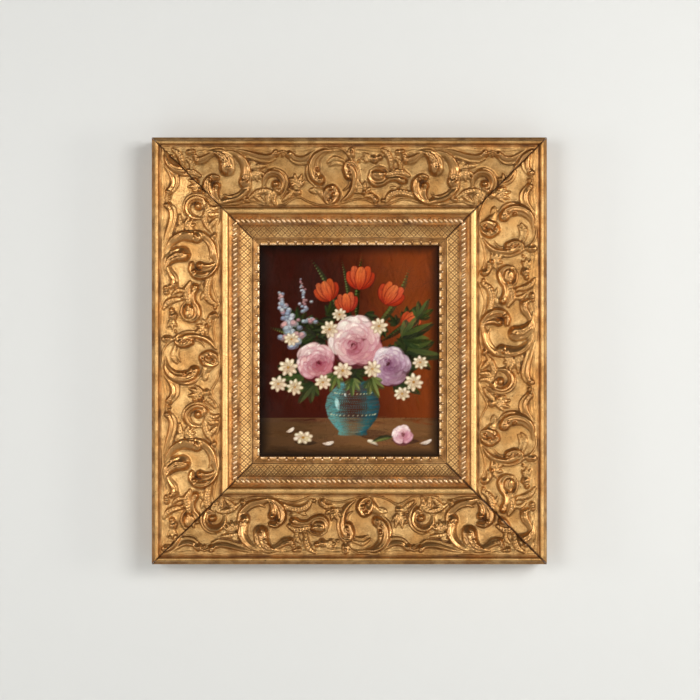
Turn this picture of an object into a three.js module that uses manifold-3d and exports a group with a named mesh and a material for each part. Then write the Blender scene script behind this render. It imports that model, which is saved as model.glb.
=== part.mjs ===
// A small flower painting on a wooden panel in a wide gilt frame with running scrollwork.
//
// Millimetres, +Z up, +X to the right of someone facing the picture. The wall is the plane
// Y = 0 and the front faces -Y. The origin is the middle of the top rail's flat back.
//
// Each rail is made lying down: x runs along the rail, y runs outwards from the picture's
// centre and z is the height above the wall. Widths across a rail are measured inwards
// from its outer edge and are called "across"; "rise" is a height above the wall.

import * as THREE from 'three';
import { mergeVertices } from 'three/addons/utils/BufferGeometryUtils.js';
import Module from 'manifold-3d';

// ---- driving dimensions -------------------------------------------------------------

const PANEL_WIDTH = 229;
const PANEL_HEIGHT = 267;
const PANEL_THICK = 7;
const PANEL_BEVEL = 4;
const SIGHT_COVER = 6; // how far the slip laps over the panel's edge
const RAIL_WIDTH = 127.5; // outer edge to sight edge, slip included

const OUTER_WIDTH = PANEL_WIDTH - 2 * SIGHT_COVER + 2 * RAIL_WIDTH;
const OUTER_HEIGHT = PANEL_HEIGHT - 2 * SIGHT_COVER + 2 * RAIL_WIDTH;

const GAP = 0.3; // clearance between pieces that touch

// section of the moulding, across / rise
const BACK_FLAT = 114; // width of the rail's flat back, up to the rebate
const RAIL_END = 120.3; // inner end of the rail, where the slip begins
const EDGE_RISE = 44; // height of the plain outer side
const EDGE_STEP = 3.4; // plain fillet outside the bead
const BEAD_ACROSS = 6;
const BEAD_RADIUS = 2.6;
const BEAD_CROWN = 50;
const QUIRK_ACROSS = 9.6;
const QUIRK_RISE = 45;
const FIELD_START = 12; // the hollow field that carries the scrolls
const FIELD_END = 80;
const FIELD_HIGH = 45.5;
const FIELD_LOW = 32;
const FIELD_POWER = 1.6;
const TORUS_ACROSS = 88;
const TORUS_HALF = 4.4;
const TORUS_FOOT = 32.2;
const TORUS_HEIGHT = 5;
const FILLET_RISE = 30.2; // flat fillet inside the torus
const ROPE_ACROSS = 99;
const ROPE_HALF = 3;
const ROPE_FOOT = 29.6;
const ROPE_HEIGHT = 3.4;
const COVE_START = 104.6; // small hollow with the trellis pattern
const COVE_HIGH = 29.6;
const COVE_LOW = 22.6;
const COVE_POWER = 1.7;
const LIP_UNDERSIDE = 18.8; // top of the rebate that holds the slip

// slip, across / rise
const SLIP_OUTER = BACK_FLAT + GAP + 0.1;
const SLIP_LEG = 120.9; // inner face of the leg that surrounds the panel
const SLIP_BACK = 4.5;
const SLIP_SEAT = 13.8; // the panel's face rests under this
const SLIP_TOP = 21.4;
const SLIP_SIGHT_RISE = 17.6;
const TONGUE_PITCH = 10.8;
const TONGUE_NOTCH = 2;

// scrollwork
const PERIOD = 250; // the pattern repeats along the moulding
const RIDGE_SIDES = 4; // a ridge has two flanks above the field and two below
const FACET_LENGTH = 13.5; // longest facet along a scroll
const FACET_TURN = 35; // and the most that a scroll turns in one facet, in degrees
const TIGHTENING = 2; // a spiral closes faster towards its head
const FLANK_SPREAD = 1.12; // a ridge's foot runs a little wider than its stated width
const BURIED = 0.5; // depth of a ridge's widest part below the field

const GILT = { color: 0xc08a45, roughness: 0.38, metalness: 0.85 };
const GILT_SLIP = { color: 0xcf9c58, roughness: 0.36, metalness: 0.85 };
const PAINT = { color: 0x4a2412, roughness: 0.5, metalness: 0 };

// ---- solids -------------------------------------------------------------------------

const wasm = await Module();
wasm.setup();

function toSolid(geometry) {
  const bare = geometry.clone();
  bare.deleteAttribute('normal');
  bare.deleteAttribute('uv');
  const merged = mergeVertices(bare, 1e-4);
  const vertProperties = new Float32Array(merged.attributes.position.array);
  const triVerts = new Uint32Array(merged.index.array);
  return new wasm.Manifold(new wasm.Mesh({ numProp: 3, vertProperties, triVerts }));
}

function toGeometry(solid) {
  const mesh = solid.getMesh();
  const geometry = new THREE.BufferGeometry();
  geometry.setAttribute('position', new THREE.BufferAttribute(new Float32Array(mesh.vertProperties), 3));
  geometry.setIndex(new THREE.BufferAttribute(new Uint32Array(mesh.triVerts), 1));
  geometry.computeVertexNormals();
  return geometry;
}

// ---- the moulding's section ---------------------------------------------------------

// A stretch of an ellipse; the angle is 0 towards the picture and 90 degrees towards the viewer.
function arc(across, rise, halfWidth, height, fromDegrees, toDegrees, steps) {
  const points = [];
  for (let i = 0; i <= steps; i += 1) {
    const angle = THREE.MathUtils.degToRad(fromDegrees + ((toDegrees - fromDegrees) * i) / steps);
    points.push([across + halfWidth * Math.cos(angle), rise + height * Math.sin(angle)]);
  }
  return points;
}

function hollow(start, end, high, low, power, steps) {
  const points = [];
  for (let i = 0; i <= steps; i += 1) {
    const across = start + ((end - start) * i) / steps;
    points.push([across, low + (high - low) * ((end - across) / (end - start)) ** power]);
  }
  return points;
}

function fieldRise(across) {
  const t = THREE.MathUtils.clamp((FIELD_END - across) / (FIELD_END - FIELD_START), 0, 1);
  return FIELD_LOW + (FIELD_HIGH - FIELD_LOW) * t ** FIELD_POWER;
}

function railSection() {
  return [
    [0, 0],
    [0, EDGE_RISE],
    [EDGE_STEP - 0.4, EDGE_RISE + 2.2],
    ...arc(BEAD_ACROSS, BEAD_CROWN - BEAD_RADIUS, BEAD_RADIUS, BEAD_RADIUS, 180, 0, 4),
    [QUIRK_ACROSS, QUIRK_RISE],
    ...hollow(FIELD_START, FIELD_END, FIELD_HIGH, FIELD_LOW, FIELD_POWER, 3),
    [TORUS_ACROSS - TORUS_HALF - 0.6, FIELD_LOW - 0.8],
    ...arc(TORUS_ACROSS, TORUS_FOOT, TORUS_HALF, TORUS_HEIGHT, 180, 0, 5),
    [TORUS_ACROSS + TORUS_HALF, FILLET_RISE],
    [ROPE_ACROSS - ROPE_HALF, FILLET_RISE],
    ...arc(ROPE_ACROSS, ROPE_FOOT, ROPE_HALF, ROPE_HEIGHT, 180, 0, 3),
    [ROPE_ACROSS + ROPE_HALF + 1.2, COVE_HIGH - 1],
    ...hollow(COVE_START, RAIL_END - 1, COVE_HIGH, COVE_LOW, COVE_POWER, 3),
    [RAIL_END, COVE_LOW],
    [RAIL_END, LIP_UNDERSIDE],
    [BACK_FLAT, LIP_UNDERSIDE],
    [BACK_FLAT, 0],
  ];
}

function slipSection() {
  return [
    [SLIP_OUTER, SLIP_BACK],
    [SLIP_OUTER, LIP_UNDERSIDE - GAP],
    [RAIL_END + GAP, LIP_UNDERSIDE - GAP],
    [RAIL_END + GAP, SLIP_TOP],
    [RAIL_WIDTH, SLIP_SIGHT_RISE],
    [RAIL_WIDTH, SLIP_SEAT],
    [SLIP_LEG, SLIP_SEAT],
    [SLIP_LEG, SLIP_BACK],
  ];
}

// ---- rails --------------------------------------------------------------------------

// Extrudes a section along a rail, from one outer corner to the other.
function extrudeSection(section, reach, length) {
  const shape = new THREE.Shape(section.map(([across, rise]) => new THREE.Vector2(reach - across, rise)));
  const geometry = new THREE.ExtrudeGeometry(shape, { depth: length, bevelEnabled: false, steps: 1 });
  geometry.translate(0, 0, -length / 2);
  const layDown = new THREE.Matrix4().makeBasis(
    new THREE.Vector3(0, 1, 0),
    new THREE.Vector3(0, 0, 1),
    new THREE.Vector3(1, 0, 0),
  );
  return toSolid(geometry.applyMatrix4(layDown));
}

// The space between the two mitre cuts of a rail, less half a gap on each side.
function mitreSpace(reach, length) {
  const cut = GAP / 2 * Math.SQRT2;
  const half = length / 2 - cut;
  const depth = RAIL_WIDTH + 20;
  const shape = new THREE.Shape([
    new THREE.Vector2(-half, reach),
    new THREE.Vector2(-half + depth, reach - depth),
    new THREE.Vector2(half - depth, reach - depth),
    new THREE.Vector2(half, reach),
  ]);
  const geometry = new THREE.ExtrudeGeometry(shape, { depth: 2 * BEAD_CROWN, bevelEnabled: false });
  geometry.translate(0, 0, -BEAD_CROWN / 2);
  return toSolid(geometry);
}

// ---- scrollwork ---------------------------------------------------------------------

// A scroll is a ridge along a spiral arc: centre [along, across], radius, turn in degrees,
// width and rise above the field, the last four from tail to head. The turn is counted
// clockwise with the outer edge uppermost, 0 pointing along the rail. The head is round.
const scroll = (centre, radius, turn, width, rise) => ({ centre, radius, turn, width, rise });

// A boss is half of an ellipsoid: centre, half-width, half-length across the rail, rise, tilt.
const boss = (centre, halfWidth, halfLength, rise, tilt = 0) => ({
  centre,
  halfWidth,
  halfLength,
  rise,
  tilt,
});

// Open whorl: three commas chase each other inside a broken ring.
const OPEN_WHORL = [
  scroll([-2, 48], [27.5, 27], [28, 114], [6, 7], [3, 3.5]), // milled band
  scroll([-2, 48], [30, 20], [-98, 36], [3, 16], [2.5, 6.5]), // arm on the right
  scroll([-22, 38], [21.5, 18.5], [-80, 26], [4, 20], [2.5, 7.5]), // drop at the top
  scroll([-20, 58.5], [12, 6], [92, 360], [8, 10], [3, 6.5]), // hook at the left
  scroll([-43, 115], [45, 45], [-60, -116], [6, 9], [3, 3.5]), // leaf stem
  scroll([33, 87], [18, 16], [-124, -18], [4, 13], [3, 5]), // leaf spray
  scroll([57, 53], [12.5, 5.5], [-200, 110], [6, 11], [3.5, 6]), // rosette
  scroll([40, 4], [20, 20], [124, 36], [3, 11], [2, 4.5]), // leaf at the outer band
  boss([34, 44], 7.5, 9, 4.5, 20), // small flower
];

// Closed whorl: two commas and a bulb with long leaves.
const CLOSED_WHORL = [
  scroll([-8, 35], [20, 18], [-96, -256], [3, 17], [2.5, 6.5]), // comma on the left
  scroll([4, 47], [26.5, 14], [86, -74], [5, 15], [3, 6.5]), // comma on the right
  scroll([-12, 30], [44, 46], [136, 82], [5, 12], [2.5, 4.5]), // broad leaf
  scroll([28, 150], [78, 78], [-110, -71], [5, 8], [3, 4]), // stem
  scroll([-42, 14], [12, 14], [30, 162], [3, 9], [2, 4]), // leaf at the outer band
  scroll([54.5, 46], [9.5, 8], [210, 30], [4, 5], [3, 4]), // husk round the bud
  boss([-3, 65.5], 10.5, 10.5, 7.5), // bulb
  boss([54.5, 45.5], 7, 5, 5.5, -25), // bud
  boss([48, 25], 9, 6, 4, -30), // ridged leaf
  boss([21.5, 18.5], 5, 5, 4), // ball
  boss([-43, 51], 10, 6.5, 3.5, -35), // leaf fan
  boss([83, 44], 10, 7, 3.5, 30), // leaf fan
];

function spiralPoint(item, t) {
  const tightened = Math.sign(t) * Math.abs(t) ** TIGHTENING;
  const radius = THREE.MathUtils.lerp(item.radius[0], item.radius[1], tightened);
  const angle = THREE.MathUtils.degToRad(THREE.MathUtils.lerp(item.turn[0], item.turn[1], t));
  return [item.centre[0] + radius * Math.cos(angle), item.centre[1] + radius * Math.sin(angle)];
}

// Full width until close to the end, then a half circle.
function headShape(distanceLeft, headRadius) {
  const inHead = THREE.MathUtils.clamp(1 - distanceLeft / headRadius, 0, 0.85);
  return Math.sqrt(1 - inHead * inHead);
}

// Bends a closed prism along the spiral and gives it the ridge's width and rise.
function ridgeSolid(item, along, reach) {
  const turned = Math.abs(item.turn[1] - item.turn[0]);
  const length = ((item.radius[0] + item.radius[1]) / 2) * THREE.MathUtils.degToRad(turned);
  const steps = Math.max(3, Math.round(length / FACET_LENGTH), Math.round(turned / FACET_TURN));
  const geometry = new THREE.CylinderGeometry(1, 1, 1, RIDGE_SIDES, steps);
  const position = geometry.attributes.position;
  for (let i = 0; i < position.count; i += 1) {
    const t = 1 - (0.5 - position.getY(i)) ** 1.3; // shorter facets towards the head
    const [u, across] = spiralPoint(item, t);
    const [u0, across0] = spiralPoint(item, t - 0.01);
    const [u1, across1] = spiralPoint(item, t + 0.01);
    const heading = new THREE.Vector2(u1 - u0, across0 - across1).normalize();
    const round = headShape((1 - t) * length, item.width[1] / 2);
    const half = (THREE.MathUtils.lerp(item.width[0], item.width[1], t) / 2) * round;
    const rise = THREE.MathUtils.lerp(item.rise[0], item.rise[1], t) * round;
    const side = position.getX(i) * half * FLANK_SPREAD;
    const up = position.getZ(i) > 0.5 ? rise : BURIED * (position.getZ(i) < -0.5 ? -3 : -1);
    position.setXYZ(
      i,
      along + u + heading.y * side,
      reach - across - heading.x * side,
      fieldRise(across) + up,
    );
  }
  return toSolid(geometry);
}

function bossSolid(item, along, reach) {
  const geometry = new THREE.SphereGeometry(1, 6, 4);
  geometry.rotateX(Math.PI / 2);
  geometry.scale(item.halfWidth, item.halfLength, item.rise);
  geometry.rotateZ(-THREE.MathUtils.degToRad(item.tilt));
  geometry.translate(along + item.centre[0], reach - item.centre[1], fieldRise(item.centre[1]));
  return toSolid(geometry);
}

function ornamentSolids(reach, length, phase) {
  const solids = [];
  const half = length / 2;
  for (let repeat = -2; repeat <= 2; repeat += 1) {
    for (const [unit, offset] of [[OPEN_WHORL, 0], [CLOSED_WHORL, PERIOD / 2]]) {
      const along = phase + repeat * PERIOD + offset;
      for (const item of unit) {
        if (Math.abs(along + item.centre[0]) < half) {
          solids.push(item.radius ? ridgeSolid(item, along, reach) : bossSolid(item, along, reach));
        }
      }
    }
  }
  return solids;
}

// ---- pieces -------------------------------------------------------------------------

function makeRail(reach, length, phase) {
  let solid = extrudeSection(railSection(), reach, length);
  for (const piece of ornamentSolids(reach, length, phase)) {
    solid = solid.add(piece);
  }
  return toGeometry(solid.intersect(mitreSpace(reach, length)));
}

// A three-sided cutter that parts two tongues where they end at the sight edge.
function tongueNotch(along, reach) {
  const geometry = new THREE.CylinderGeometry(TONGUE_NOTCH, TONGUE_NOTCH, SLIP_TOP, 3);
  geometry.rotateX(Math.PI / 2);
  geometry.translate(along, reach - RAIL_WIDTH, SLIP_TOP);
  return toSolid(geometry);
}

function makeSlip(reach, length) {
  let solid = extrudeSection(slipSection(), reach, length);
  const sight = length - 2 * RAIL_WIDTH;
  const count = Math.round(sight / TONGUE_PITCH);
  for (let i = 0; i <= count; i += 1) {
    solid = solid.subtract(tongueNotch(-sight / 2 + (i * sight) / count, reach));
  }
  return toGeometry(solid.intersect(mitreSpace(reach, length)));
}

// A panel with its back edges bevelled, so that it sits easily in the rebate.
function makePanel() {
  const outline = (inset) => [
    new THREE.Vector2(-PANEL_WIDTH / 2 + inset, -PANEL_HEIGHT / 2 + inset),
    new THREE.Vector2(PANEL_WIDTH / 2 - inset, -PANEL_HEIGHT / 2 + inset),
    new THREE.Vector2(PANEL_WIDTH / 2 - inset, PANEL_HEIGHT / 2 - inset),
    new THREE.Vector2(-PANEL_WIDTH / 2 + inset, PANEL_HEIGHT / 2 - inset),
  ];
  const geometry = new THREE.ExtrudeGeometry(new THREE.Shape(outline(0)), {
    depth: PANEL_THICK,
    bevelEnabled: false,
    steps: 2,
  });
  const position = geometry.attributes.position;
  for (let i = 0; i < position.count; i += 1) {
    if (position.getZ(i) < 0.1) {
      position.setX(i, position.getX(i) - Math.sign(position.getX(i)) * PANEL_BEVEL);
      position.setY(i, position.getY(i) - Math.sign(position.getY(i)) * PANEL_BEVEL);
    }
  }
  geometry.translate(0, 0, SLIP_SEAT - GAP - PANEL_THICK);
  return toGeometry(toSolid(geometry));
}

// ---- the whole picture --------------------------------------------------------------

const SIDES = [
  { side: 'top', turn: 0, reach: OUTER_HEIGHT / 2, length: OUTER_WIDTH, phase: 106 },
  { side: 'left', turn: 90, reach: OUTER_WIDTH / 2, length: OUTER_HEIGHT, phase: 118 },
  { side: 'bottom', turn: 180, reach: OUTER_HEIGHT / 2, length: OUTER_WIDTH, phase: 108 },
  { side: 'right', turn: -90, reach: OUTER_WIDTH / 2, length: OUTER_HEIGHT, phase: -19 },
];

function addPiece(parent, name, geometry, finish) {
  const mesh = new THREE.Mesh(geometry, new THREE.MeshStandardMaterial(finish));
  mesh.name = name;
  parent.add(mesh);
}

const picture = new THREE.Group();
for (const { side, turn, reach, length, phase } of SIDES) {
  const group = new THREE.Group();
  group.rotation.z = THREE.MathUtils.degToRad(turn);
  addPiece(group, `rail_${side}`, makeRail(reach, length, phase), GILT);
  addPiece(group, `sight_slip_${side}`, makeSlip(reach, length), GILT_SLIP);
  picture.add(group);
}
addPiece(picture, 'painting_panel', makePanel(), PAINT);

// stand the picture up against the wall, with the origin on the top rail's back
picture.rotation.x = Math.PI / 2;
picture.position.z = -(OUTER_HEIGHT / 2 - BACK_FLAT / 2);

const framedPicture = new THREE.Group();
framedPicture.add(picture);

export default framedPicture;
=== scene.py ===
import math

import bmesh
import bpy
import numpy as np
from bpy.props import FloatProperty, FloatVectorProperty, IntProperty, PointerProperty
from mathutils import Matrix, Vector


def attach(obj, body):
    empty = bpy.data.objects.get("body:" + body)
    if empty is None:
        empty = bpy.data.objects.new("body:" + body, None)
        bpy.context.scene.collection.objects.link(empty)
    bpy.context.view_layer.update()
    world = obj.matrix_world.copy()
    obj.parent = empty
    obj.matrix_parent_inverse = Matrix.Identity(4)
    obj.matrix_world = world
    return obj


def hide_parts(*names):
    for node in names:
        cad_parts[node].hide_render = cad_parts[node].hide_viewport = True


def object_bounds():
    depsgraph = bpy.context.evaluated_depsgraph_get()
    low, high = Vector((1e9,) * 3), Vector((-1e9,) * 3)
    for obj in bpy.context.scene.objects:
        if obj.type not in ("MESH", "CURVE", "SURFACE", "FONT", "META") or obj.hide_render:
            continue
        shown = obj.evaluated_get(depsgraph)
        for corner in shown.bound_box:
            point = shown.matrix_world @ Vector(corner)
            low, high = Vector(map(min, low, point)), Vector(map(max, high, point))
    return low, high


bl_info = {
    "name": "Gilt scroll frame with a flower painting",
    "version": (1, 0, 0),
    "blender": (4, 5, 0),
    "location": "View3D > Sidebar > Picture",
    "description": "Builds the carved relief, gilding and painted panel of a small framed picture",
    "category": "Object",
}

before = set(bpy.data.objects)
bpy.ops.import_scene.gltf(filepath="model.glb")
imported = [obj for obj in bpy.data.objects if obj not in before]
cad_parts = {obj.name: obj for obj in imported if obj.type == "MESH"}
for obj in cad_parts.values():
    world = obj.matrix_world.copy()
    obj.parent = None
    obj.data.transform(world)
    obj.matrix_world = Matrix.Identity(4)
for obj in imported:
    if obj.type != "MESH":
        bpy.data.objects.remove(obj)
CAD_LOW, CAD_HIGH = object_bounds()

# ---- sizes shared by the pieces, in millimetres -----------------------------------------
#
# Across a rail, widths are measured inwards from its outer edge. Rise is the height above
# the wall. Along a rail, distances count from its middle.

MM = 0.001
RAIL_WIDTH = 127.5
RAIL_END = 118.7
BACK_FLAT = 114.0
LIP_UNDERSIDE = 18.8
GAP = 0.3
MITRE_CUT = GAP / 2 * math.sqrt(2)
EDGE_RISE = 44.0
FIELD = (12.0, 80.0)  # the hollow field that carries the scrolls
FIELD_RISE = (45.5, 32.0)
FIELD_POWER = 1.6
TORUS = (86.8, 31.4, 4.6, 5.0)  # across, foot, half width, height
ROPE = (98.4, 29.4, 3.2)  # across, foot, half width
ROPE_BED = 0.6  # height of the core that the rope's strands lie on
COVE = (103.0, 117.9)  # the small hollow with the trellis
COVE_RISE = (29.6, 22.6)
COVE_POWER = 1.7
LATTICE = 8.4  # diagonal of the trellis in the cove, halved again by fainter lines
FAINT = 0.5  # strength of the fainter lines
TRELLIS_DEPTH = 0.36
TRELLIS_LINE = 0.5  # half width of a line of the trellis
JOINT_DEPTH = 0.7

PERIOD = 250.0  # the scrollwork repeats along the moulding
HALF_PERIOD = PERIOD / 2
TILE_ACROSS = (8.0, 83.6)
TILE_SHAPE = (216, 720)  # samples across and along one period
TILE_STEP = ((TILE_ACROSS[1] - TILE_ACROSS[0]) / TILE_SHAPE[0], PERIOD / TILE_SHAPE[1])

OUTER = ((CAD_HIGH.x - CAD_LOW.x) / MM, (CAD_HIGH.z - CAD_LOW.z) / MM)
CENTRE_Z = (CAD_HIGH.z + CAD_LOW.z) / 2 / MM

# how wide the dark joint shows at each corner
CORNERS = {"tl": 0.4, "tr": 0.62, "br": 1.1, "bl": 0.55}

# side, quarter turns, distance from the picture's centre to the outer edge, length, phase,
# and the corners at the two ends
RAILS = (
    ("top", 0, OUTER[1] / 2, OUTER[0], 104.0, ("tl", "tr")),
    ("left", 1, OUTER[0] / 2, OUTER[1], 115.7, ("bl", "tl")),
    ("bottom", 2, OUTER[1] / 2, OUTER[0], 106.0, ("br", "bl")),
    ("right", 3, OUTER[0] / 2, OUTER[1], -21.0, ("tr", "br")),
)


def stand_up(points, turns, reach):
    """Turns points given along, across and above one rail into the row frame, in metres."""
    along, across, rise = points[:, 0], reach - points[:, 1], points[:, 2]
    cos, sin = ((1, 0), (0, 1), (-1, 0), (0, -1))[turns]
    x = along * cos - across * sin
    z = along * sin + across * cos + CENTRE_Z
    return np.stack([x, -rise, z], axis=1) * MM


# ---- smooth noise and softening ---------------------------------------------------------


CLOUD_CELLS = 64  # the noise repeats after so many patches


def cloud(x, y, size, seed):
    """Smooth noise from -1 to 1 whose patches are about size across."""
    grid = np.random.default_rng(seed).uniform(-1, 1, (CLOUD_CELLS, CLOUD_CELLS))
    gx, gy = np.asarray(x) / size + 31.7, np.asarray(y) / size + 17.3
    ix, iy = np.floor(gx).astype(int), np.floor(gy).astype(int)
    fx, fy = gx - ix, gy - iy
    fx, fy = fx * fx * (3 - 2 * fx), fy * fy * (3 - 2 * fy)
    jx, jy = (ix + 1) % CLOUD_CELLS, (iy + 1) % CLOUD_CELLS
    ix, iy = ix % CLOUD_CELLS, iy % CLOUD_CELLS
    low = grid[iy, ix] * (1 - fx) + grid[iy, jx] * fx
    high = grid[jy, ix] * (1 - fx) + grid[jy, jx] * fx
    return low * (1 - fy) + high * fy


def blurred(values, cells):
    """Gaussian blur of a field that repeats along its second axis."""
    reach = int(math.ceil(cells * 2.5))
    weights = np.exp(-0.5 * (np.arange(-reach, reach + 1) / cells) ** 2)
    weights /= weights.sum()
    padded = np.pad(values, ((reach, reach), (0, 0)), mode="edge")
    rows = sum(w * padded[i : i + len(values)] for i, w in enumerate(weights))
    return sum(w * np.roll(rows, i - reach, axis=1) for i, w in enumerate(weights))


def smooth(value, low, high):
    t = np.clip((value - low) / (high - low), 0, 1)
    return t * t * (3 - 2 * t)


# ---- the scrollwork ---------------------------------------------------------------------
#
# One period holds an open whorl, a shell volute, a closed whorl and a leafy eye. Places are
# along, from the open whorl's middle, and across. Turns are in degrees, clockwise with the
# outer edge uppermost, 0 pointing along the rail.

STROKE_STEP = 1.1
GUTTER = 2.0  # width of the groove pressed round each element
GUTTER_DEPTH = 0.22
RELIEF = 1.12  # how much the carved height exceeds the traced rises
ECHO = 0.34  # height of the fine lines tooled in the ground round the forms
FULLNESS = {"comma": 1.08, "smooth": 1.12, "leaf": 1.25, "bead": 1.05, "knob": 1.1, "curl": 1.1,
            "bulb": 1.1}


def stroke(style, path, widths, rises, crest=0.0):
    """A raised stroke along a path, from its thin tail to its round head."""
    path = np.asarray(path, float)
    steps = np.linalg.norm(np.diff(path, axis=0), axis=1)
    run = np.concatenate([[0], np.cumsum(steps)])
    t = run / run[-1]
    heading = np.gradient(path, axis=0)
    heading /= np.linalg.norm(heading, axis=1)[:, None]
    half = np.interp(t, np.linspace(0, 1, len(widths)), widths) / 2 * FULLNESS[style]
    rise = np.interp(t, np.linspace(0, 1, len(rises)), rises)
    return {"style": style, "path": path, "run": run, "heading": heading,
            "half": half, "rise": rise, "crest": crest}


def blade(style, points, widths, rises, crest=0.0):
    """A stroke along a smooth line through a few points."""
    points = np.asarray(points, float)
    ends = np.vstack([2 * points[0] - points[1], points, 2 * points[-1] - points[-2]])
    path = []
    for a, b, c, d in zip(ends[:-3], ends[1:-2], ends[2:-1], ends[3:]):
        for t in np.linspace(0, 1, max(4, int(np.linalg.norm(c - b) / STROKE_STEP)), False):
            path.append(0.5 * (2 * b + (c - a) * t + (2 * a - 5 * b + 4 * c - d) * t * t
                               + (3 * b - a - 3 * c + d) * t**3))
    path.append(points[-1])
    return stroke(style, path, widths, rises, crest)


def leaf(tail, turn, length, width, rise, bend=20.0):
    """A short bent leaf, from its tail outwards."""
    t = np.linspace(0, 1, max(7, int(length / STROKE_STEP)))
    a = np.radians(turn - bend / 2 + bend * t)
    steps = np.stack([np.cos(a), np.sin(a)], axis=1) * length / len(t)
    path = np.asarray(tail) + np.cumsum(steps, axis=0)
    return stroke("leaf", path, [width * 0.35, width, width * 0.85, width * 0.3],
                  [rise * 0.6, rise, rise, rise * 0.7])


def knob(centre, half, rise, tilt=0.0, style="knob"):
    """A round or oval boss, made as a very short stroke."""
    a = math.radians(tilt)
    reach = max(half[0] - half[1], 0.05)
    way = np.array([math.cos(a), math.sin(a)]) * reach
    path = [np.asarray(centre) - way, np.asarray(centre), np.asarray(centre) + way]
    return stroke(style, path, [2 * half[1]], [rise])


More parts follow.
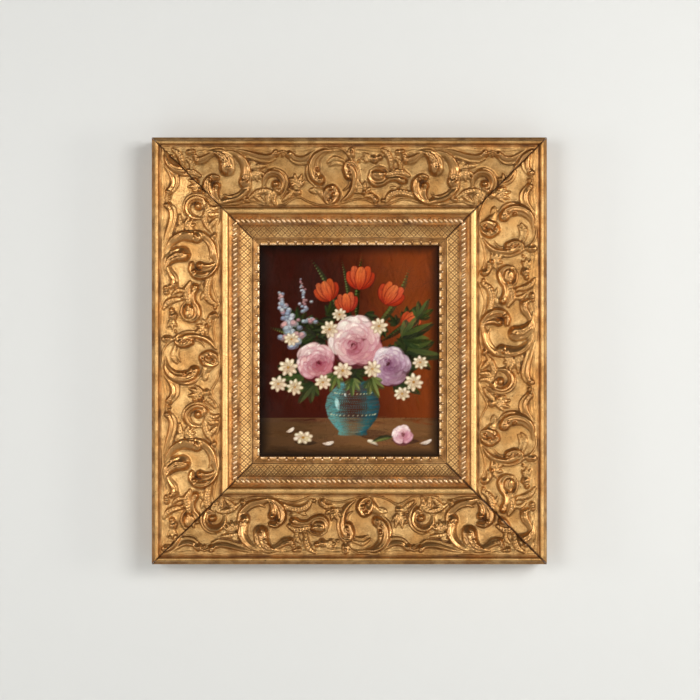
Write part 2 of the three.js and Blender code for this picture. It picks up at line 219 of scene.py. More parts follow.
# style, crest, points along and across, widths from tail to head, rises from tail to head
LIMBS = (
    # the open whorl, round (0, 48)
    ("comma", 0.3, ((-25, 16.5), (-15, 17.2), (-6, 21), (-0.8, 29), (0, 36.5)),
     (1.5, 5, 12.5, 17, 18), (2, 4.5, 6.6, 7.4, 7.4)),
    ("comma", -0.3, ((-4, 77), (-15, 74.5), (-23.5, 65), (-24.5, 53.5), (-18, 47), (-11.5, 47.5)),
     (2, 7, 11, 11.5, 9, 6), (2.4, 5.2, 7, 7.6, 6.6, 5)),
    ("comma", 0.2, ((-8, 77.5), (-13.5, 71), (-15, 63), (-13, 57)), (2, 6.5, 8, 9),
     (2, 5, 6.4, 7.2)),
    ("smooth", 0.4, ((-9, 76.5), (1, 73.2), (11, 70.8), (19.5, 65), (25.6, 57), (28, 49)),
     (5, 9.5, 9.5, 9, 6.5, 2.5), (3.4, 5, 5.2, 5.2, 4.6, 3)),
    ("bead", 0, ((-5, 67.5), (3, 69.6), (12, 66.4), (18, 61)), (1.4, 2.6, 2.4, 1.2),
     (3, 4.4, 4.4, 3.4)),
    ("smooth", -0.45, ((-1, 17), (10, 20.6), (18, 27.4), (22.4, 37), (21.6, 47.5)),
     (2, 6.5, 10, 12, 13), (2, 3.8, 5.4, 6.2, 6.6)),
    ("bead", 0, ((2, 15.6), (14, 20), (23, 28.6), (27.6, 39), (28, 50), (24.6, 60)),
     (1.6, 2.6, 3, 3, 2.6, 1.6), (2.4, 3.8, 5, 5.4, 5, 3.6)),
    ("leaf", 0, ((28.6, 36), (36, 34.4), (46.5, 33.4)), (4, 6.4, 3), (3.6, 4.6, 3)),
    # the shell volute between the whorls, and the sprays round it
    ("comma", -0.25, ((43.5, 57), (45.4, 47.5), (53, 41.8), (62, 43.6), (67, 51.6), (64.6, 60.6),
                      (58.4, 61)), (4, 7, 8, 8, 8, 7.5, 7), (3, 4.8, 6, 6.6, 6.4, 5.6, 5)),
    ("bead", 0, ((47, 39), (58, 36.8), (68.4, 42.6), (72, 53), (69.4, 63), (63.4, 71.4)),
     (1.4, 2.4, 2.6, 2.6, 2.4, 1.4), (2, 3.2, 3.8, 4, 3.6, 2.4)),
    ("leaf", 0, ((55, 64.6), (46, 62.6), (36, 64.6), (26.6, 70.6)), (3, 6.6, 6.6, 3),
     (3.4, 4.6, 4.6, 3)),
    ("leaf", 0, ((30, 67.4), (36.4, 71), (42.4, 76.4)), (2.6, 6, 4.4), (3, 4.4, 3.4)),
    ("leaf", 0, ((56, 65.4), (48.6, 69.4), (48.4, 77)), (3, 6.6, 4.6), (3.4, 4.8, 3.6)),
    ("leaf", 0, ((59, 66), (55, 72), (56.4, 78.6)), (3, 6, 4), (3.4, 4.8, 3.6)),
    ("leaf", 0, ((66, 74.6), (73, 69.6), (79.4, 62.6)), (2.6, 6.4, 3.6), (2.6, 4.2, 3)),
    # the hanging band along the outer edge
    ("comma", -0.35, ((10, 15), (24, 19.4), (37, 23.4), (47.6, 24.6), (55, 22.6), (58.6, 18.4)),
     (2, 6, 8, 9, 8.6, 7.4), (2, 3.6, 4.6, 5.2, 5.2, 4.8)),
    ("comma", 0.35, ((106, 15), (98, 22.4), (89.4, 26.8), (80.6, 25.8), (74.6, 20.4)),
     (2, 6, 9.4, 10, 8), (2, 3.8, 5, 5.4, 4.8)),
    ("bead", 0, ((14, 20.6), (28, 24.8), (40, 28.4), (51, 29), (58.6, 25.2)),
     (1.4, 2.4, 2.6, 2.4, 1.4), (2.4, 3.6, 4, 4, 3)),
    ("bead", 0, ((101, 26.6), (91, 31.6), (81, 30.6), (73, 24.6)), (1.4, 2.6, 2.6, 1.4),
     (2.4, 4, 4, 3)),
    # the closed whorl, round (125, 46)
    ("comma", 0.3, ((127, 16.6), (114, 18.4), (104.6, 26), (102, 37), (105, 46.6), (110.6, 50.4)),
     (2, 6.5, 11.5, 14.5, 15, 12.5), (2, 4.8, 6.6, 7.4, 7.4, 6.6)),
    ("bead", 0, ((100.6, 23), (96, 31), (94.4, 41), (97.6, 51), (105, 57.4)),
     (1.4, 2.6, 3, 2.6, 1.4), (3, 4.6, 5, 4.6, 3)),
    ("smooth", 0.2, ((104, 60), (112, 64), (118, 68)), (3, 9, 13), (2.4, 3.4, 4.4)),
    ("comma", -0.15, ((119, 77), (117.6, 70), (121, 62.6), (126, 59.4)), (4, 8, 10, 9),
     (3.6, 5.6, 6.8, 6.6)),
    ("comma", 0.2, ((121, 78), (127.6, 74.6), (130.6, 67), (127.6, 60.4)), (3, 8, 10, 9),
     (3.4, 5.8, 7, 6.6)),
    ("smooth", -0.3, ((137, 75.6), (147, 67.4), (152.4, 56.6), (152.6, 44), (148.6, 35)),
     (2.4, 6, 7.6, 8.6, 9), (2.6, 4.4, 5.4, 6.2, 6.6)),
    ("comma", 0.3, ((152, 31), (145.4, 30.4), (142.4, 36.6), (145.4, 44.4)), (4, 8, 10.5, 11.5),
     (4, 6, 7.2, 7.2)),
    ("bead", 0, ((120, 13.8), (131, 13), (140.6, 16.6), (147.6, 24.6), (155.6, 35), (158, 47),
                 (154.6, 59)), (1.4, 2.4, 2.6, 2.6, 2.6, 2.4, 1.4), (2, 3, 3.6, 4, 4.4, 4.2, 3)),
    ("leaf", 0, ((119.6, 30), (128, 25.4), (139.4, 27.6)), (2.6, 6, 3), (2.4, 3.6, 2.6)),
    ("leaf", 0, ((121.6, 34), (129, 30.4), (137, 32)), (2, 4.4, 2.4), (2, 3, 2.2)),
    ("bead", 0, ((147, 52.6), (144.6, 58.6), (139.4, 62)), (2.4, 2.4, 1.4), (4.2, 4, 3)),
    # the eye and its leaves
    ("smooth", 0.2, ((171.6, 39.6), (171, 48.6), (177, 55.4), (186, 54.2), (194, 49.4), (203, 48.6),
                     (210.6, 51.4)), (3, 5.6, 6.6, 6.6, 6, 7.4, 9.6),
     (3.4, 4.6, 5, 5, 4.8, 5.6, 6.2)),
    ("leaf", 0, ((189.6, 44), (198, 42.4), (207, 41), (216.6, 45.4)), (4, 7.4, 7.6, 4),
     (4, 5.4, 5.4, 4)),
    ("bead", 0, ((171.6, 38.6), (179, 35), (188.6, 36.6), (194, 42)), (1.6, 2.8, 2.8, 1.4),
     (3, 4.4, 4.4, 3)),
    ("leaf", 0, ((185, 14.6), (191.6, 19), (195.6, 27), (196.4, 37)), (3, 7, 7, 3),
     (2.8, 4.8, 4.8, 3)),
    ("leaf", 0, ((202, 25), (207, 31), (206.6, 39)), (3, 5.6, 3), (2.8, 4.2, 3)),
    ("comma", 0.3, ((241, 18), (230, 21.4), (221.6, 26.4), (214.4, 27.4)), (2, 6, 9, 9.6),
     (2, 4, 5.2, 5.2)),
    ("leaf", 0, ((190, 76.4), (194.6, 69), (204, 65), (215, 66.4), (228, 71.6), (239, 77)),
     (4, 8, 8.4, 6.6, 4.6, 2), (3.4, 5, 5, 4.4, 3.6, 2.4)),
    ("leaf", 0, ((165, 69.6), (171, 68), (176.6, 71)), (2.6, 6, 6), (3, 4.6, 5)),
    # the raised edge along the inner side of the scrolls
    ("bead", 0, ((-22, 76.4), (-12, 78.6), (0, 79.4), (12, 78), (22, 76.2), (32, 76), (42, 79.4),
                 (56, 81.2)), (1.6, 2, 2.2, 2.2, 2, 2, 2.2, 1.6),
     (1.4, 1.9, 2.1, 2.1, 1.9, 1.9, 2, 1.4)),
    ("bead", 0, ((56, 81.2), (68, 79.4), (78, 73.4), (86, 70.6), (96, 75.6), (108, 79.6),
                 (122, 80.8), (134, 78.6)), (1.6, 2, 2.2, 2.2, 2.2, 2.2, 2.2, 1.6),
     (1.4, 2, 2.2, 2.4, 2.2, 2, 1.9, 1.4)),
    ("bead", 0, ((134, 78.6), (148, 74.4), (160, 72.8), (171, 75), (179, 80), (188, 81),
                 (197, 77.4), (210, 73.4), (222, 74.4), (232, 77.4)),
     (1.6, 2.2, 2.2, 2.2, 2, 2, 2.2, 2.2, 2, 1.6), (1.4, 2, 2.2, 2, 1.8, 1.8, 2, 2.2, 2, 1.4)),
)

# root, then the turn, length, width, rise and bend of each leaf that springs from it
SPRAYS = (
    ((29.5, 40), ((14, 16, 5.6, 4.6, 16), (36, 14, 5.6, 4.8, 20), (60, 13, 5.2, 4.6, 20),
                  (82, 10, 4.4, 4, 10))),
    ((80.5, 61), ((-118, 14, 4.6, 4, -20), (-90, 18, 5.6, 4.8, -16), (-64, 19, 5.8, 5, -24),
                  (-40, 16, 5.2, 4.6, -30))),
    ((164, 64), ((-120, 15, 5.6, 4.8, 16), (-150, 12, 5, 4.4, 14), (-84, 12, 4.8, 4.4, 10),
                 (-30, 10, 4.4, 4, -20), (172, 11, 4.4, 4, -14))),
    ((173, 22), ((196, 11, 4.2, 3.6, 20), (168, 13, 4.8, 4, 16), (140, 12, 4.4, 4, 16))),
    ((35, 30), ((150, 10, 4, 3.2, -20), (190, 9, 3.6, 3, 20))),
    ((252, 22), ((196, 13, 4.4, 3.4, -20), (172, 14, 4.6, 3.4, -16))),
    ((97, 62), ((4, 12, 4.4, 3, 20), (24, 11, 4, 2.8, 20))),
    ((205, 60), ((-170, 10, 3.6, 2.6, 20), (-8, 11, 3.8, 2.6, 10))),
)

# centre, half length and half width, rise, tilt, style
KNOBS = (
    ((0, 36.8), (6, 5.6), 8.4, 0, "curl"), ((-4.4, 29), (2.4, 2.2), 8.2, 40, "knob"),
    ((-13.4, 56.8), (4.2, 4), 8.2, 0, "knob"),
    ((-20.6, 50), (3.4, 2.8), 8.4, 60, "knob"), ((20.4, 53), (7, 6.6), 7.8, 0, "curl"),
    ((22.4, 51.4), (2.6, 2.2), 8.8, 40, "knob"),
    ((58, 55), (5, 4.4), 7.4, 0, "knob"), ((61.6, 64), (4, 3.4), 5.6, 20, "curl"),
    ((22.4, 73.4), (4, 3.2), 4.8, 20, "curl"),
    ((58.6, 19.6), (4.2, 4), 6, 0, "curl"), ((74, 20.6), (4.4, 4.2), 6, 0, "curl"),
    ((64, 18), (1.8, 1.8), 4, 0, "knob"),
    ((66.8, 17.2), (1.8, 1.8), 4, 0, "knob"), ((69.6, 18), (1.8, 1.8), 4, 0, "knob"),
    ((66.8, 21.2), (2, 2), 3.8, 0, "knob"),
    ((76.4, 50), (2.6, 2.4), 4.4, 0, "knob"), ((77.6, 56.6), (2.8, 2.6), 4.8, 0, "knob"),
    ((74.6, 61.4), (2.4, 2.2), 4.2, 0, "knob"),
    ((84, 65), (4.6, 4), 5, 10, "curl"), ((110.4, 50.4), (6, 5.6), 7.8, 0, "curl"),
    ((107.2, 38.4), (3.2, 2.8), 8.4, 70, "knob"),
    ((106, 45.6), (2.2, 2), 8, 0, "knob"), ((123.8, 60.4), (3.4, 3), 8, 0, "knob"),
    ((121.4, 73.4), (2.4, 2.2), 6.4, 0, "knob"),
    ((127.6, 67.6), (2.4, 3.6), 8, 80, "knob"), ((146.4, 42.6), (3.4, 3), 8.2, 50, "knob"),
    ((145, 34), (2.6, 2.4), 8, 0, "knob"),
    ((148.8, 18.6), (6.2, 4.4), 5.6, 90, "curl"), ((149, 17.6), (2.2, 2), 6.4, 0, "knob"),
    ((164.2, 64.6), (3.6, 3.2), 5.8, 0, "curl"),
    ((180.4, 45), (9, 7.2), 7, 8, "bulb"), ((187.6, 43.4), (3.4, 3), 6.6, 0, "knob"),
    ((177, 73), (5, 4), 5.6, 70, "curl"),
    ((186.6, 75), (2.6, 2.2), 3.6, 0, "knob"), ((176, 25.6), (5.2, 4.6), 5.8, 30, "curl"),
    ((182.6, 24), (3.6, 3.2), 5, 0, "knob"),
    ((204.6, 17.8), (3.8, 3.4), 4.8, 0, "curl"), ((209.8, 17), (3, 2.8), 4.6, 0, "knob"),
    ((211.6, 22.6), (3.2, 3), 4.8, 0, "knob"),
    ((198, 36.4), (2.4, 2.2), 4.6, 0, "knob"), ((202.6, 38.6), (2, 2), 4.4, 0, "knob"),
    ((211.4, 51), (4, 3.4), 7, 60, "curl"),
    ((214, 27.6), (4, 3.8), 6, 0, "curl"), ((166, 27), (2.2, 2), 3.6, 0, "knob"),
    ((158, 28), (2, 1.8), 3.2, 0, "knob"),
)


def dome(x, crest):
    """A smooth cross-section from -1 to 1 with its top at crest."""
    left = (crest - x) / (1 + crest)
    right = (x - crest) / (1 - crest)
    return np.clip(1 - np.maximum(left, right) ** 2, 0, 1) ** 0.7


def cross_section(style, x, run, crest):
    """Height from 0 to 1 at x from -1 to 1 across a stroke, run millimetres along it."""
    if style == "comma":
        way = math.copysign(1, crest)
        deep = np.exp(-(((x + 0.42 * way) / 0.2) ** 2))
        light = np.exp(-(((x - 0.14 * way) / 0.15) ** 2))
        return dome(x, crest) * (1 - 0.26 * deep - 0.14 * light)
    if style == "leaf":
        vein = np.exp(-((x / 0.16) ** 2))
        ribs = np.cos(2 * np.pi * (run / 3.4 - 0.9 * np.abs(x)))
        return dome(x, crest) * (0.88 - 0.3 * vein + 0.12 * ribs)
    if style == "curl":
        return dome(x, 0.0) * (0.92 + 0.08 * np.cos(x * 7))
    if style == "bulb":
        return dome(x, 0.0) * (1 - 0.2 * np.exp(-(((x - 0.25) / 0.13) ** 2)))
    return dome(x, crest)


def press(tile, item):
    """Raises one stroke on the tile, with a fine groove pressed round it."""
    path, half = item["path"], item["half"]
    margin = half.max() + GUTTER
    first = math.floor((path[:, 0].min() - margin) / TILE_STEP[1])
    last = math.ceil((path[:, 0].max() + margin) / TILE_STEP[1])
    top = math.floor((path[:, 1].min() - margin - TILE_ACROSS[0]) / TILE_STEP[0])
    foot = math.ceil((path[:, 1].max() + margin - TILE_ACROSS[0]) / TILE_STEP[0])
    rows = np.arange(max(top, 0), min(foot, TILE_SHAPE[0] - 1) + 1)
    columns = np.arange(first, last + 1)
    u, v = np.meshgrid(columns * TILE_STEP[1], TILE_ACROSS[0] + rows * TILE_STEP[0])
    du, dv = u[..., None] - path[:, 0], v[..., None] - path[:, 1]
    outside = np.hypot(du, dv) - half
    near = outside.argmin(-1)
    pick = near[..., None]
    edge = np.take_along_axis(outside, pick, -1)[..., 0]
    du, dv = np.take_along_axis(du, pick, -1)[..., 0], np.take_along_axis(dv, pick, -1)[..., 0]
    heading, width = item["heading"][near], half[near]
    x = np.clip(np.sign(heading[..., 0] * dv - heading[..., 1] * du) * (1 + edge / width), -1, 1)
    raised = item["rise"][near] * cross_section(item["style"], x, item["run"][near], item["crest"])
    patch = np.ix_(rows, columns % TILE_SHAPE[1])
    now = tile[patch]
    groove = GUTTER_DEPTH * np.exp(-(((edge - 0.3) / (GUTTER * 0.45)) ** 2))
    now = np.where(edge > 0, now - groove * (1 + 0.25 * np.clip(now, 0, 6)), now)
    tile[patch] = np.where(edge < 0, np.maximum(now, raised), now)


def ornament_tile():
    """Height of one period of the scrollwork above the field, painted shade and grime for its
    hollows, and its crests.
    """
    tile = np.zeros(TILE_SHAPE)
    across = TILE_ACROSS[0] + np.arange(TILE_SHAPE[0])[:, None] * TILE_STEP[0]
    along = np.arange(TILE_SHAPE[1])[None, :] * TILE_STEP[1]
    sway = np.cos(2 * np.pi * (along - 4) / HALF_PERIOD)
    for middle, swing, width, rise in ((12.2, 0.4, 0.7, 0.5), (14.6, 1.3, 0.9, 1.1),
                                       (18.2, 2.6, 0.9, 1.0)):
        line = middle - swing * sway + 0.5 * np.cos(2 * np.pi * along / 31.25 + middle)
        tile += rise * np.exp(-(((across - line) / width) ** 2))
    for style, crest, points, widths, rises in LIMBS:
        press(tile, blade(style, points, widths, rises, crest))
    for root, leaves in SPRAYS:
        for turn, length, width, rise, bend in leaves:
            press(tile, leaf(root, turn, length, width, rise, bend))
    for centre, half, rise, tilt, style in KNOBS:
        press(tile, knob(centre, half, rise, tilt, style))
    tile = 0.45 * tile + 0.55 * blurred(tile, 1.4)
    nearness = blurred(tile, 7.0)
    tile += ECHO * np.cos(2 * np.pi * nearness / 0.8) * smooth(nearness, 0.05,
        0.5) * (1 - smooth(tile, 0.5, 1.6))
    tile += 0.3 * np.maximum(blurred(tile, 9.0) - tile, 0)
    inside = smooth(across, 9.0, 12.5) * (1 - smooth(across, 81.0, 83.2))
    tile *= inside
    # dark round and between the forms: painted shade of the recesses, together with grime
    wide, fine = blurred(tile, 8.5), blurred(tile, 2.6)
    hollow = np.clip((wide - tile) / 2.8, 0, 1) * 0.72 + np.clip((fine - tile) / 1.0, 0, 1) * 0.22
    crest = smooth(tile, 1.8, 4.4)
    return tile, np.clip(hollow, 0, 1), crest


def sampled(tile, along, across):
    """Values of the repeating tile at places along and across the moulding."""
    u = (along % PERIOD) / TILE_STEP[1]
    v = np.clip((across - TILE_ACROSS[0]) / TILE_STEP[0], 0, TILE_SHAPE[0] - 1.001)
    iu, iv = np.floor(u).astype(int), np.floor(v).astype(int)
    fu, fv = u - iu, v - iv
    iu, ju = iu % TILE_SHAPE[1], (iu + 1) % TILE_SHAPE[1]
    low = tile[iv, iu] * (1 - fu) + tile[iv, ju] * fu
    high = tile[iv + 1, iu] * (1 - fu) + tile[iv + 1, ju] * fu
    return low * (1 - fv) + high * fv


# ---- the moulding -----------------------------------------------------------------------


def arc(across, rise, half_width, height, steps):
    angle = np.linspace(math.pi, 0, steps + 1)
    return list(zip(across + half_width * np.cos(angle), rise + height * np.sin(angle)))


def flat_arc(across, rise, half_width, height, steps, power=2.6):
    """A fuller arc, flatter on top than a half circle."""
    x = np.linspace(-1, 1, steps + 1)
    return list(zip(across + half_width * x, rise + height * np.sqrt(1 - np.abs(x) ** power)))


def hollow_curve(span, rises, power, steps):
    across = np.linspace(*span, steps + 1)
    t = (span[1] - across) / (span[1] - span[0])
    return list(zip(across, rises[1] + (rises[0] - rises[1]) * t**power))


def front_section():
    """Across and rise of the moulding's front, from the outer edge to the rebate's lip."""
    return np.array(
        [(0, EDGE_RISE), (3.0, 46.2)]
        + arc(6.0, 47.4, 2.6, 2.6, 16)
        + [(9.6, 45.0)]
        + hollow_curve(FIELD, FIELD_RISE, FIELD_POWER, 30)
        + [(81.6, 31.0)]
        + flat_arc(*TORUS, 24)
        + [(92.6, 31.2), (94.6, 29.9)]
        + arc(*ROPE, ROPE_BED, 8)
        + [(102.2, 29.4)]
        + hollow_curve(COVE, COVE_RISE, COVE_POWER, 16)
        + [(RAIL_END, COVE_RISE[1])]
    )


SECTION = front_section()

# where the rows of the relief lie: start, end and spacing
ROW_BANDS = (
    (0, 3, 1.5), (3, 9, 0.5), (9, 12, 0.75), (12, 80, 0.68), (80, 82.2, 0.75),
    (82.2, 91.4, 0.77), (91.4, 102.4, 1.1), (102.4, 118, 0.6), (118, RAIL_END, 0.35),
)

# painted shade and grime settled in the moulding's own grooves, and the red clay that shows in them
GROOVE_SHADE_AND_GRIME = ((0, 0.42), (2.9, 0.5), (3.5, 0.25), (6, 0.05), (8.4, 0.35), (9.4, 0.75), (10.6, 0.45),
         (12.5, 0.15),
         (20, 0.02), (77, 0.05), (80, 0.5), (81.8, 0.55), (83.2, 0.1), (84, 0), (90, 0.05),
         (91.6, 0.4),
         (93.4, 0.25), (94.8, 0.55), (98.4, 0.42), (102, 0.7), (103.4, 0.6), (105.5, 0.25),
         (110, 0),
         (117, 0.08), (118, 0.4), (RAIL_END, 1))
CLAY = ((0, 0.45), (3, 0.35), (6, 0.1), (9.5, 0.7), (13, 0.25), (20, 0.12), (60, 0.1), (80, 0.25),
        (82.4, 0.4),
        (84, 0), (89.6, 0.05), (90.8, 0.7), (92.4, 1), (94.6, 1), (97, 0.4), (101, 0.4), (102.4, 1),
        (104.5, 0.7),
        (107, 0.2), (RAIL_END, 0.15))

# painted highlight: paler leaf on the torus and the cove, where the light falls on the upright
# rails; the level rails get a part of it
PAINTED_HIGHLIGHT = ((0, 0), (82.6, 0), (84, 0.9), (89.6, 0.9), (91, 0), (104, 0), (106, 0.6), (112, 0.6),
          (116, 0.1), (RAIL_END, 0.1))
LEVEL_HIGHLIGHT = 0.4
LEVEL_SHADE = 0.82  # the level rails' gold is darkened: painted shade for the weaker light on them


def profile(table, across):
    places, values = np.array(table).T
    return np.interp(across, places, values)


def bands(spans):
    parts = [np.linspace(a, b, max(2, round((b - a) / step) + 1)) for a, b, step in spans]
    return np.unique(np.concatenate(parts).round(4))


def lattice_groove(along, across):
    """Depth from 0 to 1 of the crossing grooves that cut the cove into small diamonds."""
    depth = np.zeros(np.broadcast(along, across).shape)
    for way in (along + across, along - across):
        half = way / LATTICE * 2
        off = np.abs(half % 1 - 0.5) * LATTICE / 2 / math.sqrt(2)
        strength = np.where(np.floor(half) % 2 == 0, 1, FAINT)
        depth = np.maximum(depth, strength * np.exp(-((off / TRELLIS_LINE) ** 2)))
    return depth


def rail_relief(along, across, side, seed, tiles):
    """Rise, painted shade with grime, crest, clay, and one minus the painted highlight, on a rail's
    front.
    """
    _, turns, _, length, phase, ends = side
    from_mitre = (length / 2 - MITRE_CUT - across - np.abs(along)) / math.sqrt(2)
    joint = np.where(along < 0, CORNERS[ends[0]], CORNERS[ends[1]])
    height, hollows, crests = tiles
    shift = 0.5 * cloud(along, across, 23, seed)
    u, v = along - phase + shift, across + 0.4 * cloud(along, across, 19, seed + 1)
    carried = (across > 9.0) & (across < 83.4)
    rise = np.interp(across, SECTION[:, 0], SECTION[:, 1])
    rise = rise + np.where(carried, RELIEF * sampled(height, u, v), 0)
    in_cove = smooth(across, COVE[0], COVE[0] + 1.5) * (1 - smooth(across, COVE[1] - 1.2, COVE[1]))
    groove = lattice_groove(along, across)
    rise -= TRELLIS_DEPTH * groove * in_cove
    edge = smooth(across, 0.1, 1.0) * (1 - smooth(across, COVE[1] - 0.5, COVE[1] + 0.3))
    forms = np.where(carried, sampled(crests, u, v), 0)
    rise += edge * (0.16 * cloud(along, across, 9, seed + 2) + (0.06 - 0.05 * forms) * cloud(along,
        across, 2.6, seed + 3))
    # darker in the grooves and round the scrolls: painted shade together with grime
    hollow = profile(GROOVE_SHADE_AND_GRIME, across) * (0.85 + 0.35 * cloud(along, across, 16, seed + 4))
    hollow = np.maximum(hollow, np.where(carried, sampled(hollows, u, v), 0))
    hollow = np.maximum(hollow, 0.12 * groove * in_cove)
    open_joint = np.exp(-((from_mitre / joint) ** 2))
    rise -= JOINT_DEPTH * open_joint * smooth(across, 0.0, 1.5)
    hollow = np.maximum(hollow, 1.1 * open_joint)
    clay = profile(CLAY, across) * (0.8 + 0.5 * cloud(along, across, 21, seed + 5))
    # painted highlight on the torus and the cove, strongest on the upright rails
    bright = profile(PAINTED_HIGHLIGHT, across) * (1 + 0.3 * cloud(along, across, 14,
                                                        seed + 6)) * (LEVEL_HIGHLIGHT, 1)[turns % 2]
    return rise, np.clip(hollow, 0, 1), np.clip(forms, 0, 1), np.clip(clay, 0,
        1), 1 - np.clip(bright, 0, 1)


def mesh_object(name, points, faces, materials, slots=None, flat=None):
    """A mesh object from points and faces, with a material index and a flat flag for each face."""
    mesh = bpy.data.meshes.new(name)
    sizes = np.array([len(f) for f in faces], np.int32)
    mesh.vertices.add(len(points))
    mesh.vertices.foreach_set("co", np.asarray(points, np.float32).ravel())
    mesh.loops.add(int(sizes.sum()))
    mesh.loops.foreach_set("vertex_index", np.concatenate(faces).astype(np.int32))
    mesh.polygons.add(len(faces))
    starts = np.concatenate([[0], np.cumsum(sizes)[:-1]])
    mesh.polygons.foreach_set("loop_start", starts.astype(np.int32))
    if slots is not None:
        mesh.polygons.foreach_set("material_index", np.asarray(slots, np.int32))
    smooth_faces = np.ones(len(faces), bool) if flat is None else ~np.asarray(flat, bool)
    mesh.polygons.foreach_set("use_smooth", smooth_faces)
    mesh.update(calc_edges=True)
    for material in materials:
        mesh.materials.append(material)
    thing = bpy.data.objects.new(name, mesh)
    bpy.context.scene.collection.objects.link(thing)
    return thing


def paint_points(mesh, name, values):
    """Stores four numbers for each point as a colour attribute."""
    layer = mesh.color_attributes.new(name, "FLOAT_COLOR", "POINT")
    layer.data.foreach_set("color", np.ascontiguousarray(values, np.float32).ravel())


def map_points(mesh, pairs):
    """Gives each corner the pair of numbers of its point as a UV map."""
    corners = np.empty(len(mesh.loops), np.int32)
    mesh.loops.foreach_get("vertex_index", corners)
    layer = mesh.uv_layers.new(name="along_across")
    layer.data.foreach_set("uv", np.ascontiguousarray(pairs[corners], np.float32).ravel())


def grid_quads(number):
    """The four corners of each cell in a grid of point numbers."""
    corners = [number[:-1, :-1], number[1:, :-1], number[1:, 1:], number[:-1, 1:]]
    return np.stack(corners, -1).reshape(-1, 4)


def mitred_grid(rows, reach_at, step):
    """Points of a strip cut by two mitres, their numbers, and each row's first and last column.

    Columns stand step apart. Where a row is too short for a column, the column's point lies on
    the mitre and shares its number with the row's last point.
    """
    longest = reach_at(rows).max()
    count = int(math.ceil(2 * longest / step))
    columns = np.linspace(-longest, longest, count + 1)
    half = reach_at(rows)
    first = np.searchsorted(columns, -half, side="right") - 1
    last = np.searchsorted(columns, half, side="left")
    index = np.clip(np.arange(count + 1)[None, :], first[:, None], last[:, None])
    number = index + np.arange(len(rows))[:, None] * (count + 1)
    along = np.clip(np.broadcast_to(columns, number.shape), -half[:, None], half[:, None])
    across = np.broadcast_to(rows[:, None], number.shape)
    return along, across, number, first, last


def rail_mesh(name, side, seed, step, tiles, materials):
    """One rail in its own lying place: carved front, plain sides, rebate and flat back."""
    length = side[3]
    rows = bands(ROW_BANDS)
    along, across, number, first, last = mitred_grid(
        rows, lambda v: length / 2 - v - MITRE_CUT, step)
    quads = grid_quads(number)
    rise, hollow, crest, clay, no_highlight = rail_relief(along, across, side, seed, tiles)
    rise[0], rise[-1] = EDGE_RISE, COVE_RISE[1]
    points = np.stack([along, across, rise], -1).reshape(-1, 3)
    finish = np.stack([hollow, crest, clay, no_highlight], -1).reshape(-1, 4)
    a, b, c, d = quads.T
    full = (a != d) & (b != c)
    fore = (a == d) & (b != c)
    hind = (a != d) & (b == c)
    faces = list(quads[full]) + list(quads[fore][:, :3]) + list(quads[hind][:, [0, 1, 3]])
    width = number.shape[1]
    row = np.arange(len(rows)) * width
    left_edge, right_edge = row + first, row + last
    corners = []
    for end in (-1, 1):
        for v, z in ((0, 0), (BACK_FLAT, 0), (BACK_FLAT, LIP_UNDERSIDE), (RAIL_END, LIP_UNDERSIDE)):
            corners.append((end * (length / 2 - v - MITRE_CUT), v, z))
    base = len(points)
    points = np.vstack([points, corners])
    finish = np.vstack([finish, np.tile([0.4, 0, 0.5, 1], (8, 1))])
    l0, l1, l2, l3, r0, r1, r2, r3 = range(base, base + 8)
    top_line = np.arange(first[0], last[0] + 1)
    lip_line = row[-1] + np.arange(first[-1], last[-1] + 1)
    walls = [
        (np.concatenate([top_line, [r0, l0]]), 1),
        (np.concatenate([lip_line[::-1], [l3, r3]]), 1),
        (np.concatenate([left_edge[::-1], [l0, l1, l2, l3]]), 1),
        (np.concatenate([right_edge, [r3, r2, r1, r0]]), 1),
        (np.array([l0, r0, r1, l1]), 2),
        (np.array([l1, r1, r2, l2]), 2),
        (np.array([l2, r2, r3, l3]), 2),
    ]
    count = len(faces)
    faces += [wall for wall, _ in walls]
    slots = np.concatenate([np.zeros(count), [slot for _, slot in walls]])
    used = np.unique(np.concatenate(faces))
    renumber = np.full(len(points), -1)
    renumber[used] = np.arange(len(used))
    faces = [renumber[f] for f in faces]
    thing = mesh_object(name, points[used], faces, materials, slots, slots > 0)
    paint_points(thing.data, "finish", finish[used])
    map_points(thing.data, points[used][:, :2] * MM)
    return thing


# ---- rope and sight edge: units set out along a rail by Geometry Nodes ---------------------

ROPE_PITCH = 6.1
STRAND_HALF = 2.6
LEAF_PITCH = 10.8
SLIP_OUTER = BACK_FLAT + GAP + 0.1
SLIP_LEG = 120.9
SLIP_BACK = 4.5
SLIP_SEAT = 13.8
SLIP_TOP = 21.4
SLIP_SIGHT = 17.6
LEAF_ROOT = 121.0
PEARL_ACROSS = 123.3
SLIP_COLUMNS = 61  # points along one edge of a slip


def shell(name, grid, material, finish):
    """A closed unit: a grid of points over a flat foot. grid is rows x columns x 3."""
    rows, columns = grid.shape[:2]
    number = np.arange(rows * columns).reshape(rows, columns)
    rim = np.concatenate([number[0, :-1], number[:-1, -1], number[-1, :0:-1], number[:0:-1, 0]])
    foot = grid.reshape(-1, 3)[rim].copy()
    foot[:, 2] = grid[..., 2].min() - 0.2
    under = rows * columns + np.arange(len(rim))
    faces = list(grid_quads(number))
    for i in range(len(rim)):
        j = (i + 1) % len(rim)
        faces.append(np.array([rim[i], rim[j], under[j], under[i]]))
    faces.append(under[::-1].copy())
    points = np.vstack([grid.reshape(-1, 3), foot])
    thing = mesh_object(name, points, faces, [material])
    # the foot is darker: painted shade at the base of each unit
    values = np.vstack([finish.reshape(-1, 4), np.tile([0.9, 0, 0.3, 1], (len(rim), 1))])
    paint_points(thing.data, "finish", values)
    return thing


